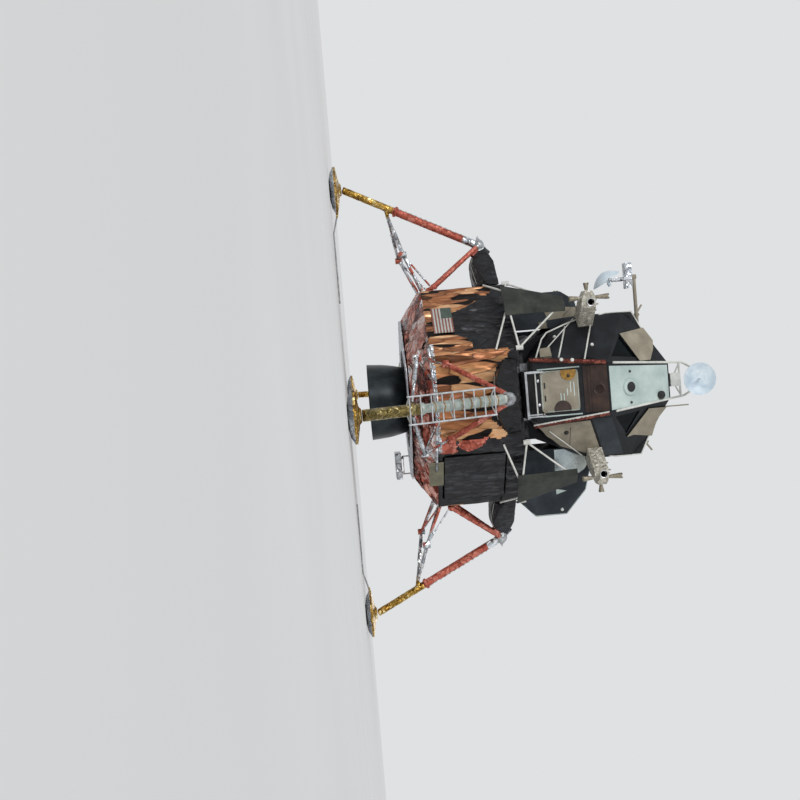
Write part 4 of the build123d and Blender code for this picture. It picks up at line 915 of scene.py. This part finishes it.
def hatch_plate(name, left, right, low, high, thickness, material, **where):
    """A rectangular plate in the plane of the hatch's face."""
    corners = [(x, HATCH_Y, z) for x, z in ((left, high), (left, low), (right, low), (right, high))]
    plate(name, corners, thickness, material, **where)


DISC_DEPTH = 0.012
clipped_disc("hatch_disc_orange", -0.335, 4.14, 0.145, -0.385, DISC_DEPTH, ORANGE)
clipped_disc("hatch_disc_brown", 0.34, 4.00, 0.16, 0.385, 0.010, BROWN)
turned("hatch_disc_hub", (-0.27, HATCH_Y - DISC_DEPTH, 4.14), (0, -1, 0),
       ((0, 0), (0.028, 0), (0.028, 0.014), (0, 0.02)), DARK, **HATCH)
# Two groups of short pale lines, the pale seal round the hatch's edge and two dark slots
BARS = ((-0.02, 4.235, 0.13), (-0.06, 4.17, 0.10), (0.03, 4.105, 0.07), (0.12, 4.04, 0.07),
        (0.13, 3.98, 0.09))
for bar, (x, z, half) in enumerate(BARS, 1):
    hatch_plate(f"hatch_bar_{bar}", x - half, x + half, z - 0.008, z + 0.008, 0.005, PALE, **HATCH)
SEAL = ((0.375, 4.31), (-0.375, 4.31), (-0.375, 3.72), (-0.30, 3.63), (0.30, 3.63), (0.375, 3.72),
        (0.375, 4.31))
tube("hatch_seal", [(x, HATCH_Y - 0.003, z) for x, z in SEAL], 0.008, PALE, **HATCH)
for name, x in (("hatch_slot_left", -0.12), ("hatch_slot_right", 0.12)):
    hatch_plate(name, x - 0.055, x + 0.055, 3.67, 3.70, 0.004, DARK, **HATCH)
# Round the hatch, on the cabin: two uprights, two lugs and a sill
for name, x in (("hatch_frame_left", -0.425), ("hatch_frame_right", 0.455)):
    hatch_plate(name, x - 0.012, x + 0.012, 3.56, 4.36, 0.010, PALE)
LUG = ((0, 0), (0.026, 0), (0.026, 0.03), (0.012, 0.036), (0, 0.036))
for name, x in (("hatch_lug_left", -0.22), ("hatch_lug_right", 0.23)):
    turned(name, (x, HATCH_Y - 0.002, 3.56), (0, -1, 0), LUG, TUBE)
hatch_plate("hatch_sill", -0.37, 0.46, 3.51, 3.535, 0.012, WHITE)

# The blank plate and the striped patch, on the front quarters of the body
QUARTER = 0.5**0.5


def on_quarter(side, along, z, lift):
    """A point on a front quarter face of the body: along it from its middle, and up."""
    normal = Vector((side * QUARTER, -QUARTER, 0))
    across = Vector((QUARTER * side, QUARTER, 0))
    return normal * (APOTHEM + lift) + across * along + Vector((0, 0, z))


def quarter_plate(name, side, left, right, low, high, lift, thickness, material, slot):
    """An upright rectangular plate on a front quarter face."""
    places = ((left, high), (left, low), (right, low), (right, high))
    corners = [on_quarter(side, along, z, lift) for along, z in places]
    if side < 0:
        corners.reverse()
    plate(name, corners, thickness, material, slot=slot)


# The blank plate hangs below the pallet's hinge, so that the pallet folds down over it
quarter_plate("blank_plate", 1, -0.52, 0.17, 1.42, 1.69, 0.004, 0.005, OLIVE, "olive_panel")
PATCH_LEFT, PATCH_RIGHT, PATCH_LOW, PATCH_HIGH = -0.33, 0.33, 1.72, 2.10
CORNER_LEFT, CORNER_STRIPES = 0.05, 7
STRIPES = 13
STRIPE = (PATCH_HIGH - PATCH_LOW) / STRIPES
PAINT = 0.0012
# The patch's stripes, corner and ground carry painted shade in their dulled colours
quarter_plate("patch_ground", -1, PATCH_LEFT, PATCH_RIGHT, PATCH_LOW, PATCH_HIGH, 0.002, 0.003, GREY_PAINT,
              "white_tube")
for band in range(0, STRIPES, 2):
    low = PATCH_LOW + band * STRIPE
    quarter_plate(f"patch_band_{band}", -1, PATCH_LEFT, PATCH_RIGHT, low, low + STRIPE, 0.005, PAINT,
                  RUST_PAINT, "red_foil")
quarter_plate("patch_corner", -1, CORNER_LEFT, PATCH_RIGHT, PATCH_HIGH - CORNER_STRIPES * STRIPE, PATCH_HIGH,
              0.0062, PAINT, GREEN_PAINT, "black_panel")

# Floor, world and lamps
floor_mesh = bpy.data.meshes.new("floor")
floor_edit = bmesh.new()
bmesh.ops.create_circle(floor_edit, cap_ends=True, segments=96, radius=90)
floor_edit.to_mesh(floor_mesh)
floor_edit.free()
floor = placed("floor", floor_mesh)
floor_material, floor_tree, floor_shader = new_material("plain pale floor")
slow_tint(floor_tree, floor_shader, 0.6, 2.0, ((0.3, "e9eaeb"), (0.7, "edeeef")))
floor_shader.inputs["Roughness"].default_value = 0.9
floor_shader.inputs["Specular IOR Level"].default_value = 0.0
floor_mesh.materials.append(floor_material)

world = bpy.data.worlds.new("pale studio")
bpy.context.scene.world = world
world.use_nodes = True
sky = world.node_tree
rays = add_node(sky, "LightPath")
seen = rays.outputs["Is Camera Ray"]
for ray in ("Is Glossy Ray", "Is Transmission Ray"):
    seen = add_node(sky, "Math", {0: seen, 1: rays.outputs[ray]}, operation="MAXIMUM").outputs[0]
shown = add_node(sky, "Background", {"Color": colour("dfe1e3"), "Strength": 1.0})
lighting = add_node(sky, "Background", {"Color": colour("ffffff"), "Strength": 0.55})
chosen = add_node(sky, "MixShader", {0: seen, 1: lighting.outputs[0], 2: shown.outputs[0]})
sky.links.new(chosen.outputs[0], sky.nodes["World Output"].inputs["Surface"])

# Three broad soft suns, aimed at the craft's middle: where each comes from, its strength
# and the angle that it fills
MIDDLE = Vector((0, 0, 2.8))
for name, place, strength, spread in (
    ("key", (-9, -14, 10), 1.25, 24), ("fill", (12, -10, 4), 0.35, 50), ("rear", (4, 12, 9), 0.4, 40),
):
    lamp = bpy.data.lights.new(name, "SUN")
    lamp.energy = strength
    lamp.angle = math.radians(spread)
    holder = placed(name, lamp)
    holder.location = place
    holder.rotation_euler = (MIDDLE - Vector(place)).to_track_quat("-Z", "Y").to_euler()

# The camera at floor level in front of the craft, rolled so that the craft's up points right
EYE_DISTANCE = 24.15
EYE_HEIGHT = 0.12
BEARING = math.radians(-2.79)
ROLL = math.radians(85.09)
AIM = Vector((0, 0, 1.05))
eye = Vector((math.sin(BEARING) * EYE_DISTANCE, -math.cos(BEARING) * EYE_DISTANCE, EYE_HEIGHT))
back = (eye - AIM).normalized()
level = Vector((0, 0, 1)).cross(back).normalized()
upright = back.cross(level)
picture_right = level * math.cos(ROLL) + upright * math.sin(ROLL)
picture_up = upright * math.cos(ROLL) - level * math.sin(ROLL)
camera = placed("camera", bpy.data.cameras.new("camera"))
camera.data.sensor_width = 36
camera.data.lens = 54.3
camera.data.clip_end = 500
camera.matrix_world = Matrix((picture_right, picture_up, back)).transposed().to_4x4()
camera.location = eye
bpy.context.scene.camera = camera
bpy.context.scene.view_settings.view_transform = "Standard"

bpy.context.view_layer.update()
